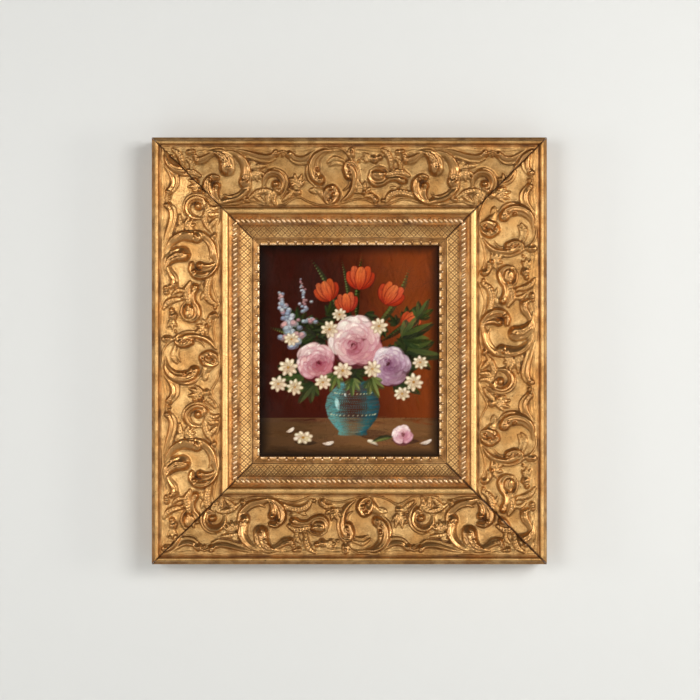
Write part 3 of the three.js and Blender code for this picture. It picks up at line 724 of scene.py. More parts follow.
def rope_strand(material):
    """One strand of the twisted rope, slanting across it and bowed over its core."""
    t = np.linspace(-1, 1, 8)[:, None]
    q = np.linspace(-1, 1, 5)[None, :]
    half = STRAND_HALF * np.sqrt(np.clip(1 - np.abs(t) ** 3.4, 0.02, 1))
    x = 1.9 * t + half * q
    y = 3.35 * t + 0 * q
    z = 3.2 - 1.8 * np.abs(t) ** 2.4 - 2.0 * q**2 * (0.4 + 0.6 * half / STRAND_HALF)
    grid = np.stack([x, y, z], -1)
    # darker at the strand's sides and ends: painted shade; paler along its middle: a painted
    # highlight
    hollow = np.clip(0.36 * q**4 + 0.3 * np.abs(t) ** 6, 0, 1)
    crest = np.clip(0.7 - np.abs(q), 0, 1) + 0 * t
    finish = np.stack([hollow, crest, 0.2 * np.ones_like(hollow), np.ones_like(hollow)], -1)
    return shell("unit_rope_strand", grid, material, finish)


def sight_leaf(material):
    """One leaf of the sight edge: wide and round towards the picture, pointed outwards."""
    t = np.linspace(0, 1, 10)[:, None]
    q = np.linspace(-1, 1, 11)[None, :]
    across = 6.45 * t
    half = LEAF_PITCH / 2 * (0.42 + 0.5 * smooth(t, 0.0, 0.6)) * np.sqrt(1 - 0.35 * smooth(t, 0.85,
        1.05))
    x = half * q
    slope = 20.3 - 1.5 * smooth(t, 0.0, 0.55) - 0.5 * t
    ribs = 0.5 + 0.5 * np.cos(3.4 * np.pi * q)
    swell = 0.3 + 0.9 * smooth(t, 0.3, 0.75)
    z = slope - 0.9 + swell * np.sqrt(np.clip(1 - q**2 * 0.96, 0, 1)) * (0.76 + 0.24 * ribs)
    z -= 1.3 * smooth(t, 0.9, 1.0) ** 2
    grid = np.stack([x + 0 * t, across + 0 * q, z], -1)
    # darker at the sides, in the rib grooves and at the root: painted shade; the pale tip is a
    # painted highlight
    hollow = np.clip(0.85 * q**6 + 0.25 * (1 - ribs) + 0.35 * (1 - smooth(t, 0.3, 0.7)), 0, 1)
    pale = smooth(t, 0.6, 0.75) * (1 - q**4) + 0 * hollow
    finish = np.stack([hollow, pale, 0.25 + 0 * hollow, np.ones_like(hollow)], -1)
    return shell("unit_sight_leaf", grid, material, finish)


def sight_pearl(material):
    """A small pearl that stands between two leaves of the sight edge."""
    ring = np.linspace(-1, 1, 6)
    x, y = np.meshgrid(ring, ring)
    x, y = x * np.sqrt(1 - y**2 / 2), y * np.sqrt(1 - x**2 / 2)
    radius = np.hypot(x, y)
    z = 18.6 + 1.6 * np.sqrt(np.clip(1 - radius**2, 0, 1))
    grid = np.stack([1.6 * x, 1.6 * y, z], -1).transpose(1, 0, 2)
    # paler in the middle: painted highlight; darker at the rim: painted shade
    ones = np.ones_like(radius)
    finish = np.stack([0.5 * radius**4, 1 - 0.6 * radius**2, 0.2 * ones, ones], -1).transpose(1, 0,
        2)
    return shell("unit_sight_pearl", grid, material, finish)


def repeat_tree():
    """Nodes that stand a unit side by side along a line, as one real mesh."""
    tree = bpy.data.node_groups.new("Units_along_a_rail", "GeometryNodeTree")
    face = tree.interface
    face.new_socket("Geometry", in_out="OUTPUT", socket_type="NodeSocketGeometry")
    for name, kind in (("Unit", "Object"), ("Count", "Int"), ("Pitch", "Float"),
                       ("Place", "Vector"),
                       ("Size variation", "Float"), ("Seed", "Int"), ("Finish", "Material")):
        face.new_socket(name, in_out="INPUT", socket_type="NodeSocket" + kind)
    nodes, link = tree.nodes, tree.links.new
    given, made = nodes.new("NodeGroupInput"), nodes.new("NodeGroupOutput")
    step = nodes.new("ShaderNodeCombineXYZ")
    link(given.outputs["Pitch"], step.inputs["X"])
    line = nodes.new("GeometryNodeMeshLine")
    link(given.outputs["Count"], line.inputs["Count"])
    link(given.outputs["Place"], line.inputs["Start Location"])
    link(step.outputs[0], line.inputs["Offset"])
    unit = nodes.new("GeometryNodeObjectInfo")
    link(given.outputs["Unit"], unit.inputs["Object"])
    spread = nodes.new("ShaderNodeMath")
    spread.operation = "SUBTRACT"
    spread.inputs[0].default_value = 1.0
    link(given.outputs["Size variation"], spread.inputs[1])
    size = nodes.new("FunctionNodeRandomValue")
    size.data_type = "FLOAT"
    link(spread.outputs[0], size.inputs["Min"])
    size.inputs["Max"].default_value = 1.0
    link(given.outputs["Seed"], size.inputs["Seed"])
    stand = nodes.new("GeometryNodeInstanceOnPoints")
    link(line.outputs["Mesh"], stand.inputs["Points"])
    link(unit.outputs["Geometry"], stand.inputs["Instance"])
    link(size.outputs["Value"], stand.inputs["Scale"])
    real = nodes.new("GeometryNodeRealizeInstances")
    link(stand.outputs["Instances"], real.inputs["Geometry"])
    gild = nodes.new("GeometryNodeSetMaterial")
    link(real.outputs["Geometry"], gild.inputs["Geometry"])
    link(given.outputs["Finish"], gild.inputs["Material"])
    link(gild.outputs["Geometry"], made.inputs["Geometry"])
    return tree


def row_of_units(tree, unit, count, pitch, place, variation, seed, finish):
    """A plain mesh of count units, pitch apart from place on."""
    carrier = bpy.data.objects.new("row_carrier", bpy.data.meshes.new("row_carrier"))
    bpy.context.scene.collection.objects.link(carrier)
    modifier = carrier.modifiers.new("row", "NODES")
    modifier.node_group = tree
    given = {"Unit": unit, "Count": count, "Pitch": pitch, "Place": place,
             "Size variation": variation, "Seed": seed, "Finish": finish}
    for item in tree.interface.items_tree:
        if item.in_out == "INPUT":
            modifier[item.identifier] = given[item.name]
    graph = bpy.context.evaluated_depsgraph_get()
    row = bpy.data.meshes.new_from_object(carrier.evaluated_get(graph))
    bpy.data.objects.remove(carrier)
    return row


def add_row(body, row, slot):
    """Puts a row of units into a body's mesh, with the body's material in the given slot."""
    row.polygons.foreach_set("material_index", np.full(len(row.polygons), slot, np.int32))
    both = bmesh.new()
    both.from_mesh(body.data)
    both.from_mesh(row)
    both.to_mesh(body.data)
    both.free()
    bpy.data.meshes.remove(row)


def slip_mesh(name, side, seed, materials):
    """The plain body of one slip, which laps over the panel and sits in the rebate."""
    length = side[3]
    section = [(SLIP_OUTER, SLIP_BACK, 2), (SLIP_OUTER, LIP_UNDERSIDE - GAP, 2),
               (RAIL_END + GAP, LIP_UNDERSIDE - GAP, 0), (RAIL_END + GAP, SLIP_TOP - 0.4, 0),
               (RAIL_END + GAP + 0.4, SLIP_TOP, 0), (RAIL_END + GAP + 1.2, SLIP_TOP - 0.1, 0),
               (LEAF_ROOT - 0.3, SLIP_TOP - 1.6, 0), (LEAF_ROOT + 0.3, SLIP_TOP - 1.9, 0),
               (123.6, SLIP_TOP - 3.0, 0),
               (126.4, SLIP_SIGHT - 0.6, 0), (RAIL_WIDTH, SLIP_SIGHT - 1.8, 0),
               (RAIL_WIDTH, SLIP_SEAT, 2), (SLIP_LEG, SLIP_SEAT, 2),
               (SLIP_LEG, SLIP_BACK, 2)]
    points, faces, slots = [], [], []
    count = SLIP_COLUMNS
    for v, z, _ in section:
        half = length / 2 - v - MITRE_CUT
        points += [(x, v, z) for x in np.linspace(-half, half, count)]
    for i, (_, _, slot) in enumerate(section):
        a, b = i * count, ((i + 1) % len(section)) * count
        for k in range(count - 1):
            faces.append(np.array([a + k, b + k, b + k + 1, a + k + 1]))
            slots.append(slot)
    ends = np.arange(len(section)) * count
    faces += [ends[::-1].copy(), ends + count - 1]
    slots += [1, 1]
    points = np.array(points, float)
    wobble = 0.12 * cloud(points[:, 0], points[:, 1], 7, seed)
    front = (points[:, 2] > SLIP_SEAT + 1) & (points[:, 1] > RAIL_END + GAP + 0.1)
    points[:, 2] += np.where(front, wobble, 0)
    thing = mesh_object(name, points, faces, materials, slots, np.ones(len(faces)))
    finish = np.tile([0.45, 0, 0.4, 1], (len(points), 1))
    paint_points(thing.data, "finish", finish)
    map_points(thing.data, points[:, :2] * MM)
    return thing


def settle(thing, side, slot, node):
    """Stands a lying piece up in its place, turns its faces outwards and hands it to the frame."""
    turns, reach = side[1:3]
    mesh = thing.data
    points = np.empty(len(mesh.vertices) * 3, np.float32)
    mesh.vertices.foreach_get("co", points)
    mesh.vertices.foreach_set("co", stand_up(points.reshape(-1, 3), turns,
                                             reach).astype(np.float32).ravel())
    face_outwards(mesh)
    hand_over(thing, slot, node)


def face_outwards(mesh):
    shape = bmesh.new()
    shape.from_mesh(mesh)
    bmesh.ops.recalc_face_normals(shape, faces=shape.faces)
    shape.to_mesh(mesh)
    shape.free()
    mesh.update()


def hand_over(thing, slot, *nodes):
    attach(thing, "root")
    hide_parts(*nodes)


# ---- materials --------------------------------------------------------------------------


class Graph:
    """Short ways to add shader nodes to one material."""

    def __init__(self, name):
        old = bpy.data.materials.get(name)
        if old:
            bpy.data.materials.remove(old)
        self.material = bpy.data.materials.new(name)
        self.material.use_nodes = True
        self.tree = self.material.node_tree
        self.shader = self.tree.nodes["Principled BSDF"]
        self.place = self.tree.nodes.new("ShaderNodeTexCoord").outputs["Object"]

    def feed(self, socket, value):
        if isinstance(value, bpy.types.NodeSocket):
            self.tree.links.new(value, socket)
        else:
            socket.default_value = value

    def wear(self, name, value):
        """Gives the surface one of its properties."""
        self.feed(self.shader.inputs[name], value)

    def math(self, operation, *values):
        node = self.tree.nodes.new("ShaderNodeMath")
        node.operation = operation
        for socket, value in zip(node.inputs, values):
            self.feed(socket, value)
        return node.outputs[0]

    def times(self, a, b):
        return self.math("MULTIPLY", a, b)

    def less(self, a, b):
        return self.math("SUBTRACT", a, b)

    def most(self, a, b):
        return self.math("MAXIMUM", a, b)

    def noise(self, scale, detail=4.0, roughness=0.55, vector=None, distortion=0.0):
        node = self.tree.nodes.new("ShaderNodeTexNoise")
        self.feed(node.inputs["Vector"], self.place if vector is None else vector)
        for name, value in (("Scale", scale), ("Detail", detail), ("Roughness", roughness),
                            ("Distortion", distortion)):
            node.inputs[name].default_value = value
        return node.outputs["Fac"]

    def stretched(self, scale):
        node = self.tree.nodes.new("ShaderNodeMapping")
        self.feed(node.inputs["Vector"], self.place)
        node.inputs["Scale"].default_value = scale
        return node.outputs[0]

    def ranged(self, value, low, high, to_low=0.0, to_high=1.0):
        node = self.tree.nodes.new("ShaderNodeMapRange")
        node.interpolation_type = "SMOOTHSTEP"
        for name, given in (("Value", value), ("From Min", low), ("From Max", high),
                            ("To Min", to_low), ("To Max", to_high)):
            self.feed(node.inputs[name], given)
        return node.outputs[0]

    def mix(self, factor, a, b):
        node = self.tree.nodes.new("ShaderNodeMix")
        node.data_type = "RGBA"
        self.feed(node.inputs["Factor"], factor)
        self.feed([s for s in node.inputs if s.name == "A" and s.type == "RGBA"][0], a)
        self.feed([s for s in node.inputs if s.name == "B" and s.type == "RGBA"][0], b)
        return [s for s in node.outputs if s.type == "RGBA"][0]

    def attribute(self, name):
        node = self.tree.nodes.new("ShaderNodeAttribute")
        node.attribute_name = name
        parts = self.tree.nodes.new("ShaderNodeSeparateColor")
        self.tree.links.new(node.outputs["Color"], parts.inputs[0])
        return node.outputs["Color"], *parts.outputs[:3], node.outputs["Alpha"]

    def bump(self, height, strength, distance, under=None):
        node = self.tree.nodes.new("ShaderNodeBump")
        node.inputs["Strength"].default_value = strength
        node.inputs["Distance"].default_value = distance
        self.feed(node.inputs["Height"], height)
        if under is not None:
            self.feed(node.inputs["Normal"], under)
        return node.outputs[0]

    def specks(self, scale, share):
        """1 at small round specks scattered over the surface, 0 elsewhere."""
        node = self.tree.nodes.new("ShaderNodeTexVoronoi")
        self.feed(node.inputs["Vector"], self.place)
        node.inputs["Scale"].default_value = scale
        parts = self.tree.nodes.new("ShaderNodeSeparateColor")
        self.tree.links.new(node.outputs["Color"], parts.inputs[0])
        size = self.ranged(parts.outputs[0], 1 - share, 1.0, 0.0, 0.34)
        return self.math("LESS_THAN", node.outputs["Distance"], size)


def shade(colour, amount=1.0):
    return (colour[0] * amount, colour[1] * amount, colour[2] * amount, 1.0)


def gilding(name, gold, pale, toned, clay, grime_and_shade, lattice):
    """Aged gold leaf: matt and pale on the ground, smoother and toned on the raised forms.

    Red clay shows at rubs and in the mouldings' grooves, and dark grime with painted shade lies in
    the hollows.
    Paler leaf on the torus and the cove, and on the crests of the rope and sight edge, is a painted
    highlight.
    """
    g = Graph(name)
    _, hollow, raised, bole, no_highlight = g.attribute("finish")
    large = g.noise(34, 3)
    middle = g.noise(95, 4, 0.6)
    small = g.noise(300, 4, 0.6)
    grain = g.noise(560, 3, 0.7)
    ground = g.mix(g.ranged(large, 0.35, 0.62), shade(gold), shade(pale))
    ground = g.mix(g.times(g.ranged(middle, 0.42, 0.66), 0.65), ground, shade(gold, 0.62))
    forms = g.mix(g.ranged(middle, 0.4, 0.66), shade(toned), shade(gold))
    # on the rope, sight leaves and pearls the crest channel is a painted highlight, so their crests
    # take the palest colour
    colour = g.mix(raised, ground, forms)
    # painted highlight: paler leaf where the light falls on the torus and the cove
    colour = g.mix(g.less(1.0, no_highlight), colour, shade(pale, 1.3))
    rub = g.times(g.ranged(small, 0.5, 0.72), g.ranged(large, 0.42, 0.62, 0.0, 0.6))
    show = g.most(g.times(bole, g.ranged(small, 0.3, 0.62, 0.35, 0.9)), g.times(rub, 0.5))
    colour = g.mix(show, colour, shade(clay))
    # dark hollows: grime together with painted shade in the recesses
    depth = g.math("ADD", hollow, g.times(g.less(middle, 0.5), 0.5))
    dirt_and_shade = g.ranged(depth, 0.14, 0.9)
    spotty = g.times(g.ranged(grain, 0.5, 0.68), g.ranged(middle, 0.3, 0.7, 0.16, 0.5))
    dirt_and_shade = g.most(dirt_and_shade, spotty)
    if lattice:
        node = g.tree.nodes.new("ShaderNodeUVMap")
        node.uv_map = "along_across"
        parts = g.tree.nodes.new("ShaderNodeSeparateXYZ")
        g.tree.links.new(node.outputs[0], parts.inputs[0])
        along, across = parts.outputs[0], parts.outputs[1]
        line = None
        for operation in ("ADD", "SUBTRACT"):
            half = g.times(g.math(operation, along, across), 2 / (LATTICE * MM))
            off = g.math("ABSOLUTE", g.less(g.math("FRACT", half), 0.5))
            strong = g.math("LESS_THAN", g.math("FLOORED_MODULO", half, 2.0), 1.0)
            strength = g.math("ADD", FAINT, g.times(strong, 1 - FAINT))
            thin = g.times(g.ranged(off, 0.05, 0.2, 1.0, 0.0), strength)
            line = thin if line is None else g.most(line, thin)
        inside = g.times(g.math("GREATER_THAN", across, (COVE[0] + 0.8) * MM),
                         g.math("LESS_THAN", across, (COVE[1] - 0.6) * MM))
        mark = g.times(line, inside)
        # the trellis lines darker: painted shade in their grooves, with grime
        dirt_and_shade = g.most(dirt_and_shade, g.times(mark, 0.75))
    colour = g.mix(dirt_and_shade, colour, shade(grime_and_shade))
    pits = g.times(g.specks(420, 0.05), g.ranged(large, 0.3, 0.6))
    colour = g.mix(g.times(pits, 0.8), colour, shade(grime_and_shade, 0.25))
    g.wear("Base Color", colour)
    g.wear("Metallic", g.less(1.0, g.times(dirt_and_shade, 0.4)))
    g.wear("Coat Weight", g.times(raised, 0.35))
    g.wear("Coat Roughness", 0.16)
    matt = g.less(g.ranged(small, 0.3, 0.75, 0.4, 0.52), g.times(raised, 0.13))
    g.wear("Roughness", g.math("ADD", matt, g.times(dirt_and_shade, 0.2)))
    rough_ground = g.times(grain, g.less(1.0, g.times(raised, 0.85)))
    bumps = g.bump(g.times(small, g.less(1.0, g.times(raised, 0.7))), 0.3, 0.0007)
    bumps = g.bump(rough_ground, 0.6, 0.0006, bumps)
    if lattice:
        bumps = g.bump(g.less(1.0, mark), 0.6, 0.0004, bumps)
    g.wear("Normal", bumps)
    return g.material


def ochre_side(name, ochre, grime_and_shade):
    """Yellow clay brushed over the sides, thin at the arrises and dusty."""
    g = Graph(name)
    patch, brush, fine = g.noise(24, 4), g.noise(70, 5, 0.65, g.stretched((1, 6, 1))), g.noise(900,
        3)
    colour = g.mix(g.ranged(brush, 0.35, 0.7), shade(ochre), shade(ochre, 0.6))
    colour = g.mix(g.times(g.ranged(patch, 0.5, 0.75), 0.6), colour, shade(grime_and_shade, 1.6))
    g.wear("Base Color", colour)
    g.wear("Roughness", g.ranged(patch, 0.3, 0.7, 0.55, 0.8))
    g.wear("Normal", g.bump(brush, 0.4, 0.0006, g.bump(fine, 0.3, 0.0002)))
    return g.material


def bare_wood(name, wood, upright):
    """Old bare softwood: long grain, darker late wood, stains and dust."""
    g = Graph(name)
    along = (9, 60, 1.2) if upright else (1.2, 60, 9)
    rings = g.noise(9, 5, 0.6, g.stretched(along), 0.6)
    fibre = g.noise(55, 6, 0.7, g.stretched(along))
    stain, fine = g.noise(14, 4, 0.6), g.noise(700, 3)
    colour = g.mix(g.ranged(rings, 0.42, 0.6), shade(wood), shade(wood, 0.62))
    colour = g.mix(g.times(g.ranged(fibre, 0.45, 0.7), 0.5), colour, shade(wood, 0.45))
    colour = g.mix(g.times(g.ranged(stain, 0.5, 0.72), 0.3), colour, shade((0.1, 0.06, 0.035)))
    g.wear("Base Color", colour)
    g.wear("Roughness", g.ranged(fibre, 0.3, 0.7, 0.6, 0.85))
    g.wear("Normal", g.bump(fibre, 0.5, 0.0007, g.bump(fine, 0.3, 0.0002)))
    return g.material


# ---- the painting -----------------------------------------------------------------------
#
# The picture is laid in with strokes on a canvas of points. x runs to the right and z up from
# the panel's middle, in millimetres, and colours are screen values from 0 to 255.

PANEL = (229.0, 267.0)
PANEL_FRONT = 13.5
PANEL_BACK = 6.5
PANEL_BEVEL = (4.0, 10.0)  # inset at the back, and the height where the bevel starts
PANEL_SHOWN = (107.5, 126.5)  # half the size of the part that carries paint relief
CANVAS_STEP = 0.5
HAIR_CELLS = 256  # the brush hairs' pattern repeats after so many samples
TABLE_EDGE = -81.0

SHAPES = {
    "brush": (0.7, 1, 1, 0.95, 0.6),
    "petal": (0.35, 0.75, 1, 1, 0.7),
    "blade": (0.25, 0.9, 1, 0.7, 0.1),
    "line": (0.8, 1, 0.9, 0.6, 0.3),
}


def screen_to_linear(values):
    values = np.clip(values / 255, 0, 1)
    return np.where(values <= 0.04045, values / 12.92, ((values + 0.055) / 1.055) ** 2.4)


class Canvas:
    """Colours and paint thickness on a grid of points, with strokes laid over one another."""

    def __init__(self, seed):
        self.random = np.random.default_rng(seed)
        self.shape = (int(PANEL[1] / CANVAS_STEP) + 1, int(PANEL[0] / CANVAS_STEP) + 1)
        self.x = np.linspace(-PANEL[0] / 2, PANEL[0] / 2, self.shape[1])[None, :]
        self.z = np.linspace(-PANEL[1] / 2, PANEL[1] / 2, self.shape[0])[:, None]
        self.colour = np.zeros(self.shape + (3,))
        self.relief = np.zeros(self.shape)
        grain = self.random.uniform(-1, 1, (HAIR_CELLS, HAIR_CELLS))
        self.grain = blurred(grain, 0.7) * 2.2

    def stroke(self, path, width, colour, tip=None, shape="brush", load=0.25, cover=0.95,
               streak=0.3, vary=5.0):
        path = np.asarray(path, float)
        span = np.linalg.norm(np.diff(path, axis=0), axis=1).sum()
        t = np.linspace(0, 1, int(np.clip(span / 1.4, 5, 26)))
        path = np.stack([np.interp(t, np.linspace(0, 1, len(path)), path[:, i]) for i in (0, 1)], 1)
        half = np.interp(t, np.linspace(0, 1, 5), SHAPES[shape]) * width / 2
        low, high = path.min(0) - width / 2 - 1, path.max(0) + width / 2 + 1
        c0, c1 = [int(np.clip((v + PANEL[0] / 2) / CANVAS_STEP, 0, self.shape[1])) for v in (low[0],
            high[0])]
        r0, r1 = [int(np.clip((v + PANEL[1] / 2) / CANVAS_STEP, 0, self.shape[0])) for v in (low[1],
            high[1])]
        if c1 <= c0 or r1 <= r0:
            return
        dx = self.x[:, c0:c1, None] - path[:, 0]
        dz = self.z[r0:r1, :, None] - path[:, 1]
        outside = np.hypot(dx, dz) - half
        near = outside.argmin(-1)
        edge = np.take_along_axis(outside, near[..., None], -1)[..., 0]
        heading = np.gradient(path, axis=0)[near]
        heading /= np.linalg.norm(heading, axis=-1, keepdims=True) + 1e-9
        off = [np.take_along_axis(np.broadcast_to(d, outside.shape), near[..., None], -1)[..., 0]
               for d in (dx, dz)]
        side = heading[..., 0] * off[1] - heading[..., 1] * off[0]
        run = t[near] * span
        start = self.random.integers(0, HAIR_CELLS, 2)
        hairs = self.grain[(side / 0.45 + start[0]).astype(int) % HAIR_CELLS,
                           (run / 2.2 + start[1]).astype(int) % HAIR_CELLS]
        alpha = cover * smooth(-edge, -0.2, 0.7) * np.clip(1 - streak * (0.5 + hairs), 0, 1)
        first = np.asarray(colour, float) + self.random.normal(0, vary,
            3) * 0.5 + self.random.normal(0, vary)
        last = first if tip is None else first + np.asarray(tip, float) - np.asarray(colour, float)
        fill = first + (last - first) * t[near][..., None] + 7 * hairs[..., None]
        block = self.colour[r0:r1, c0:c1]
        block += (fill - block) * alpha[..., None]
        thick = self.relief[r0:r1, c0:c1]
        thick += (load * (0.75 + 0.5 * hairs) - 0.35 * thick) * alpha


def line_to(x, z, angle, length, bend=0.0, count=6):
    """Points from x, z along an angle in degrees, turning by bend on the way."""
    a = np.radians(angle - bend / 2 + bend * np.linspace(0, 1, count))
    steps = np.stack([np.cos(a), np.sin(a)], 1) * length / (count - 1)
    return np.vstack([[x, z], np.array([x, z]) + np.cumsum(steps[:-1], axis=0)])


def ring_arc(x, z, radius, angle, spread, flat=1.0, count=7):
    a = np.radians(angle - spread / 2 + spread * np.linspace(0, 1, count))
    return np.stack([x + radius * np.cos(a), z + radius * flat * np.sin(a)], 1)


def mixed(a, b, share):
    return tuple(np.asarray(a, float) * (1 - share) + np.asarray(b, float) * share)


def lay_ground(canvas):
    """Dark red-brown wall, warmer to the right, and a brown table top, with a painted shadow of the
    frame along the edges.
    """
    x, z = canvas.x, canvas.z
    warm = smooth(x + 0.18 * z + 8 * cloud(x + 0 * z, z + 0 * x, 40, 5), -30, 95)[..., None]
    wall = np.array((46, 14, 6)) * (1 - warm) + np.array((112, 49, 15)) * warm
    middle = np.exp(-(((x + 20) / 60) ** 2) - ((z + 40) / 50) ** 2)[..., None]
    wall = wall + middle * np.array((22, 4, 0))
    table = np.array((104, 70, 40)) * (0.72 + 0.28 * smooth(x, -110, 30))[..., None] + 0 * wall
    canvas.colour[:] = np.where((z + 0 * x < TABLE_EDGE)[..., None], table, wall)
    random = canvas.random
    for _ in range(1100):
        x0, z0 = random.uniform(-112, 112), random.uniform(-131, 131)
        r, c = int((z0 + PANEL[1] / 2) / CANVAS_STEP), int((x0 + PANEL[0] / 2) / CANVAS_STEP)
        own = canvas.colour[r, c] * random.uniform(0.82, 1.2)
        if z0 < TABLE_EDGE + 3:
            path = line_to(x0, min(z0, TABLE_EDGE - 3), random.normal(0, 4), random.uniform(14, 34),
                           6)
        else:
            path = line_to(x0, z0, random.normal(90, 16), random.uniform(10, 26),
                           random.normal(0, 12))
        canvas.stroke(path, random.uniform(2.5, 5.5), own, load=0.1, cover=0.45, streak=0.6, vary=3)
    canvas.stroke([(-113, TABLE_EDGE), (-30, TABLE_EDGE + 0.6), (60, TABLE_EDGE - 0.4),
                   (113, TABLE_EDGE)],
                  1.6, (46, 24, 12), load=0.1, cover=0.7)
    # darker towards the frame's sight edge: a painted shadow of the frame on the picture
    rim = np.minimum(smooth(108.5 - np.abs(x), -4, 17), smooth(127.5 - np.abs(z), -4, 15))[...,
        None]
    canvas.colour *= 0.3 + 0.7 * rim


def paint_leaf(canvas, x, z, angle, length, width, dark, light, bend=20):
    spine = line_to(x, z, angle, length, bend)
    canvas.stroke(spine, width, dark, mixed(dark, light, 0.2), "blade", 0.2)
    side = np.radians(angle + 90)
    lit = spine + np.array([math.cos(side), math.sin(side)]) * width * 0.2
    canvas.stroke(lit, width * 0.5, mixed(dark, light, 0.5), light, "blade", 0.25, 0.85)
    for t in (0.25, 0.4, 0.55, 0.7):
        at = spine[int(t * (len(spine) - 1))]
        for turn in (38, -38):
            canvas.stroke(line_to(at[0], at[1], angle + turn + bend * (t - 0.5), width * 0.55), 0.7,
                          mixed(dark, light, 0.75), shape="blade", load=0.2, cover=0.6)
    canvas.stroke(spine, 0.8, mixed(light, (220, 220, 150), 0.25), shape="blade", load=0.3,
                  cover=0.7)


def jagged_leaf(canvas, x, z, angle, length, dark, light):
    """A leaf with five pointed lobes, such as a chrysanthemum's."""
    for turn, share in ((-62, 0.55), (62, 0.55), (-32, 0.8), (32, 0.8), (0, 1.0)):
        paint_leaf(canvas, x, z, angle + turn, length * share, length * 0.34, dark, light,
                   turn * 0.3)


def full_flower(canvas, x, z, r, pale, blush, deep, rings, lean=(0.0, 0.0)):
    """A loose many-petalled bloom, lit from the upper left and in shade at the lower right."""
    random = canvas.random
    canvas.stroke([(x - r * 0.15, z - r * 0.2), (x + r * 0.25, z - r * 0.15)], r * 1.7,
                  mixed(deep, (40, 14, 10), 0.5),
                  load=0.1, cover=0.85)
    for k in range(rings):
        share = 1 - k / rings
        count = int(5 + 5 * share)
        cx, cz = x + lean[0] * r * (1 - share), z + lean[1] * r * (1 - share)
        start = random.uniform(0, 360)
        for i in range(count):
            angle = start + i * 360 / count + random.normal(0, 11)
            lit = 0.5 + 0.5 * math.cos(math.radians(angle - 125))
            radius = r * (0.1 + 0.66 * share) * random.uniform(0.88, 1.1)
            wide = r * (0.24 + 0.24 * share) * random.uniform(0.8, 1.15)
            body = mixed(blush, pale, np.clip(0.1 + 0.95 * lit * (0.45 + 0.55 * share), 0, 1))
            body = mixed(body, deep,
                         0.6 * (1 - share) ** 1.6 + 0.3 * (1 - lit) * random.uniform(0.5, 1))
            spread = 290 / count + random.uniform(6, 26)
            canvas.stroke(ring_arc(cx, cz, radius * 0.98, angle + 3, spread, 0.93), wide * 1.12,
                          mixed(deep, body, 0.62), shape="brush", load=0.1, cover=0.55)
            canvas.stroke(ring_arc(cx, cz, radius, angle, spread * 0.92, 0.93), wide, body,
                          mixed(body, pale, 0.5 * lit), "petal", 0.35, 0.9)
            canvas.stroke(ring_arc(cx, cz, radius + wide * 0.26, angle + random.normal(0, 8),
                                   spread * 0.55, 0.93),
                          wide * 0.34, mixed(body, (246, 240, 228), 0.15 + 0.65 * lit * share),
                          shape="blade",
                          load=0.6, cover=0.75)
    cx, cz = x + lean[0] * r, z + lean[1] * r
    for _ in range(14):
        canvas.stroke(ring_arc(cx, cz, r * random.uniform(0.03, 0.2), random.uniform(0, 360), 110),
                      r * 0.09, mixed(deep, blush, random.uniform(0, 0.8)), shape="blade",
                      load=0.35, cover=0.7)
    for _ in range(12):
        a = math.radians(random.uniform(70, 200))
        at = (x + r * random.uniform(0.3, 0.85) * math.cos(a),
              z + r * random.uniform(0.3, 0.85) * math.sin(a))
        canvas.stroke(line_to(at[0], at[1], random.uniform(0, 180), r * 0.22, 40), r * 0.08,
                      (242, 234, 222),
                      shape="blade", load=0.7, cover=0.55)


def star_flower(canvas, x, z, r, petals, pale, shadow, heart, tilt=0.0, flat=1.0):
    """A small open flower with separate petals round a dark yellow heart."""
    for i in range(petals):
        a = math.radians(tilt + i * 360 / petals + canvas.random.normal(0, 4))
        end = (x + r * math.cos(a), z + r * flat * math.sin(a))
        lit = 0.5 + 0.5 * math.cos(a - 2.1)
        path = np.linspace((x, z), end, 5)
        canvas.stroke(path, r * 0.74, mixed(shadow, (60, 30, 20), 0.35), shape="petal", load=0.1,
                      cover=0.75)
        canvas.stroke(path, r * 0.62, mixed(shadow, pale, 0.35),
                      mixed(shadow, pale, 0.6 + 0.4 * lit), "petal", 0.4)
        canvas.stroke(np.linspace(path[3], end, 3), r * 0.3,
                      mixed(pale, (252, 246, 232), lit * 0.7),
                      shape="brush", load=0.6, cover=0.8)
    canvas.stroke([(x - r * 0.08, z), (x + r * 0.08, z)], r * 0.34, heart, load=0.5)
    for _ in range(5):
        dx, dz = canvas.random.normal(0, r * 0.12, 2)
        canvas.stroke([(x + dx, z + dz), (x + dx + 0.3, z + dz)], r * 0.11,
                      mixed(heart, (240, 210, 110), 0.6), load=0.7)


def cup_flower(canvas, x, z, r, angle, dark, body, bright):
    """A tulip's cup: overlapping petals that rise from one foot."""
    for turn, reach, wide, share in ((-34, 1.5, 0.8, 0.1), (36, 1.45, 0.8, 0.25),
                                     (-16, 1.7, 0.85, 0.45),
                                     (18, 1.65, 0.8, 0.6), (0, 1.5, 0.9, 0.8)):
        path = line_to(x, z, angle + turn, r * reach, -turn * 1.3)
        canvas.stroke(path, r * wide * 1.12, mixed(dark, (40, 8, 6), 0.3), shape="petal", load=0.1,
                      cover=0.85)
        canvas.stroke(path, r * wide, mixed(dark, body, 0.4 + share * 0.6),
                      mixed(body, bright, share), "petal", 0.35)
        for shift in (-0.2, 0.05, 0.25):
            edge = path + np.array([math.cos(math.radians(angle + 90)),
                                    math.sin(math.radians(angle + 90))]) * r * shift
            canvas.stroke(edge[1:], r * 0.12, mixed(body, bright, 0.4 + 0.6 * share), shape="blade",
                          load=0.45, cover=0.7)


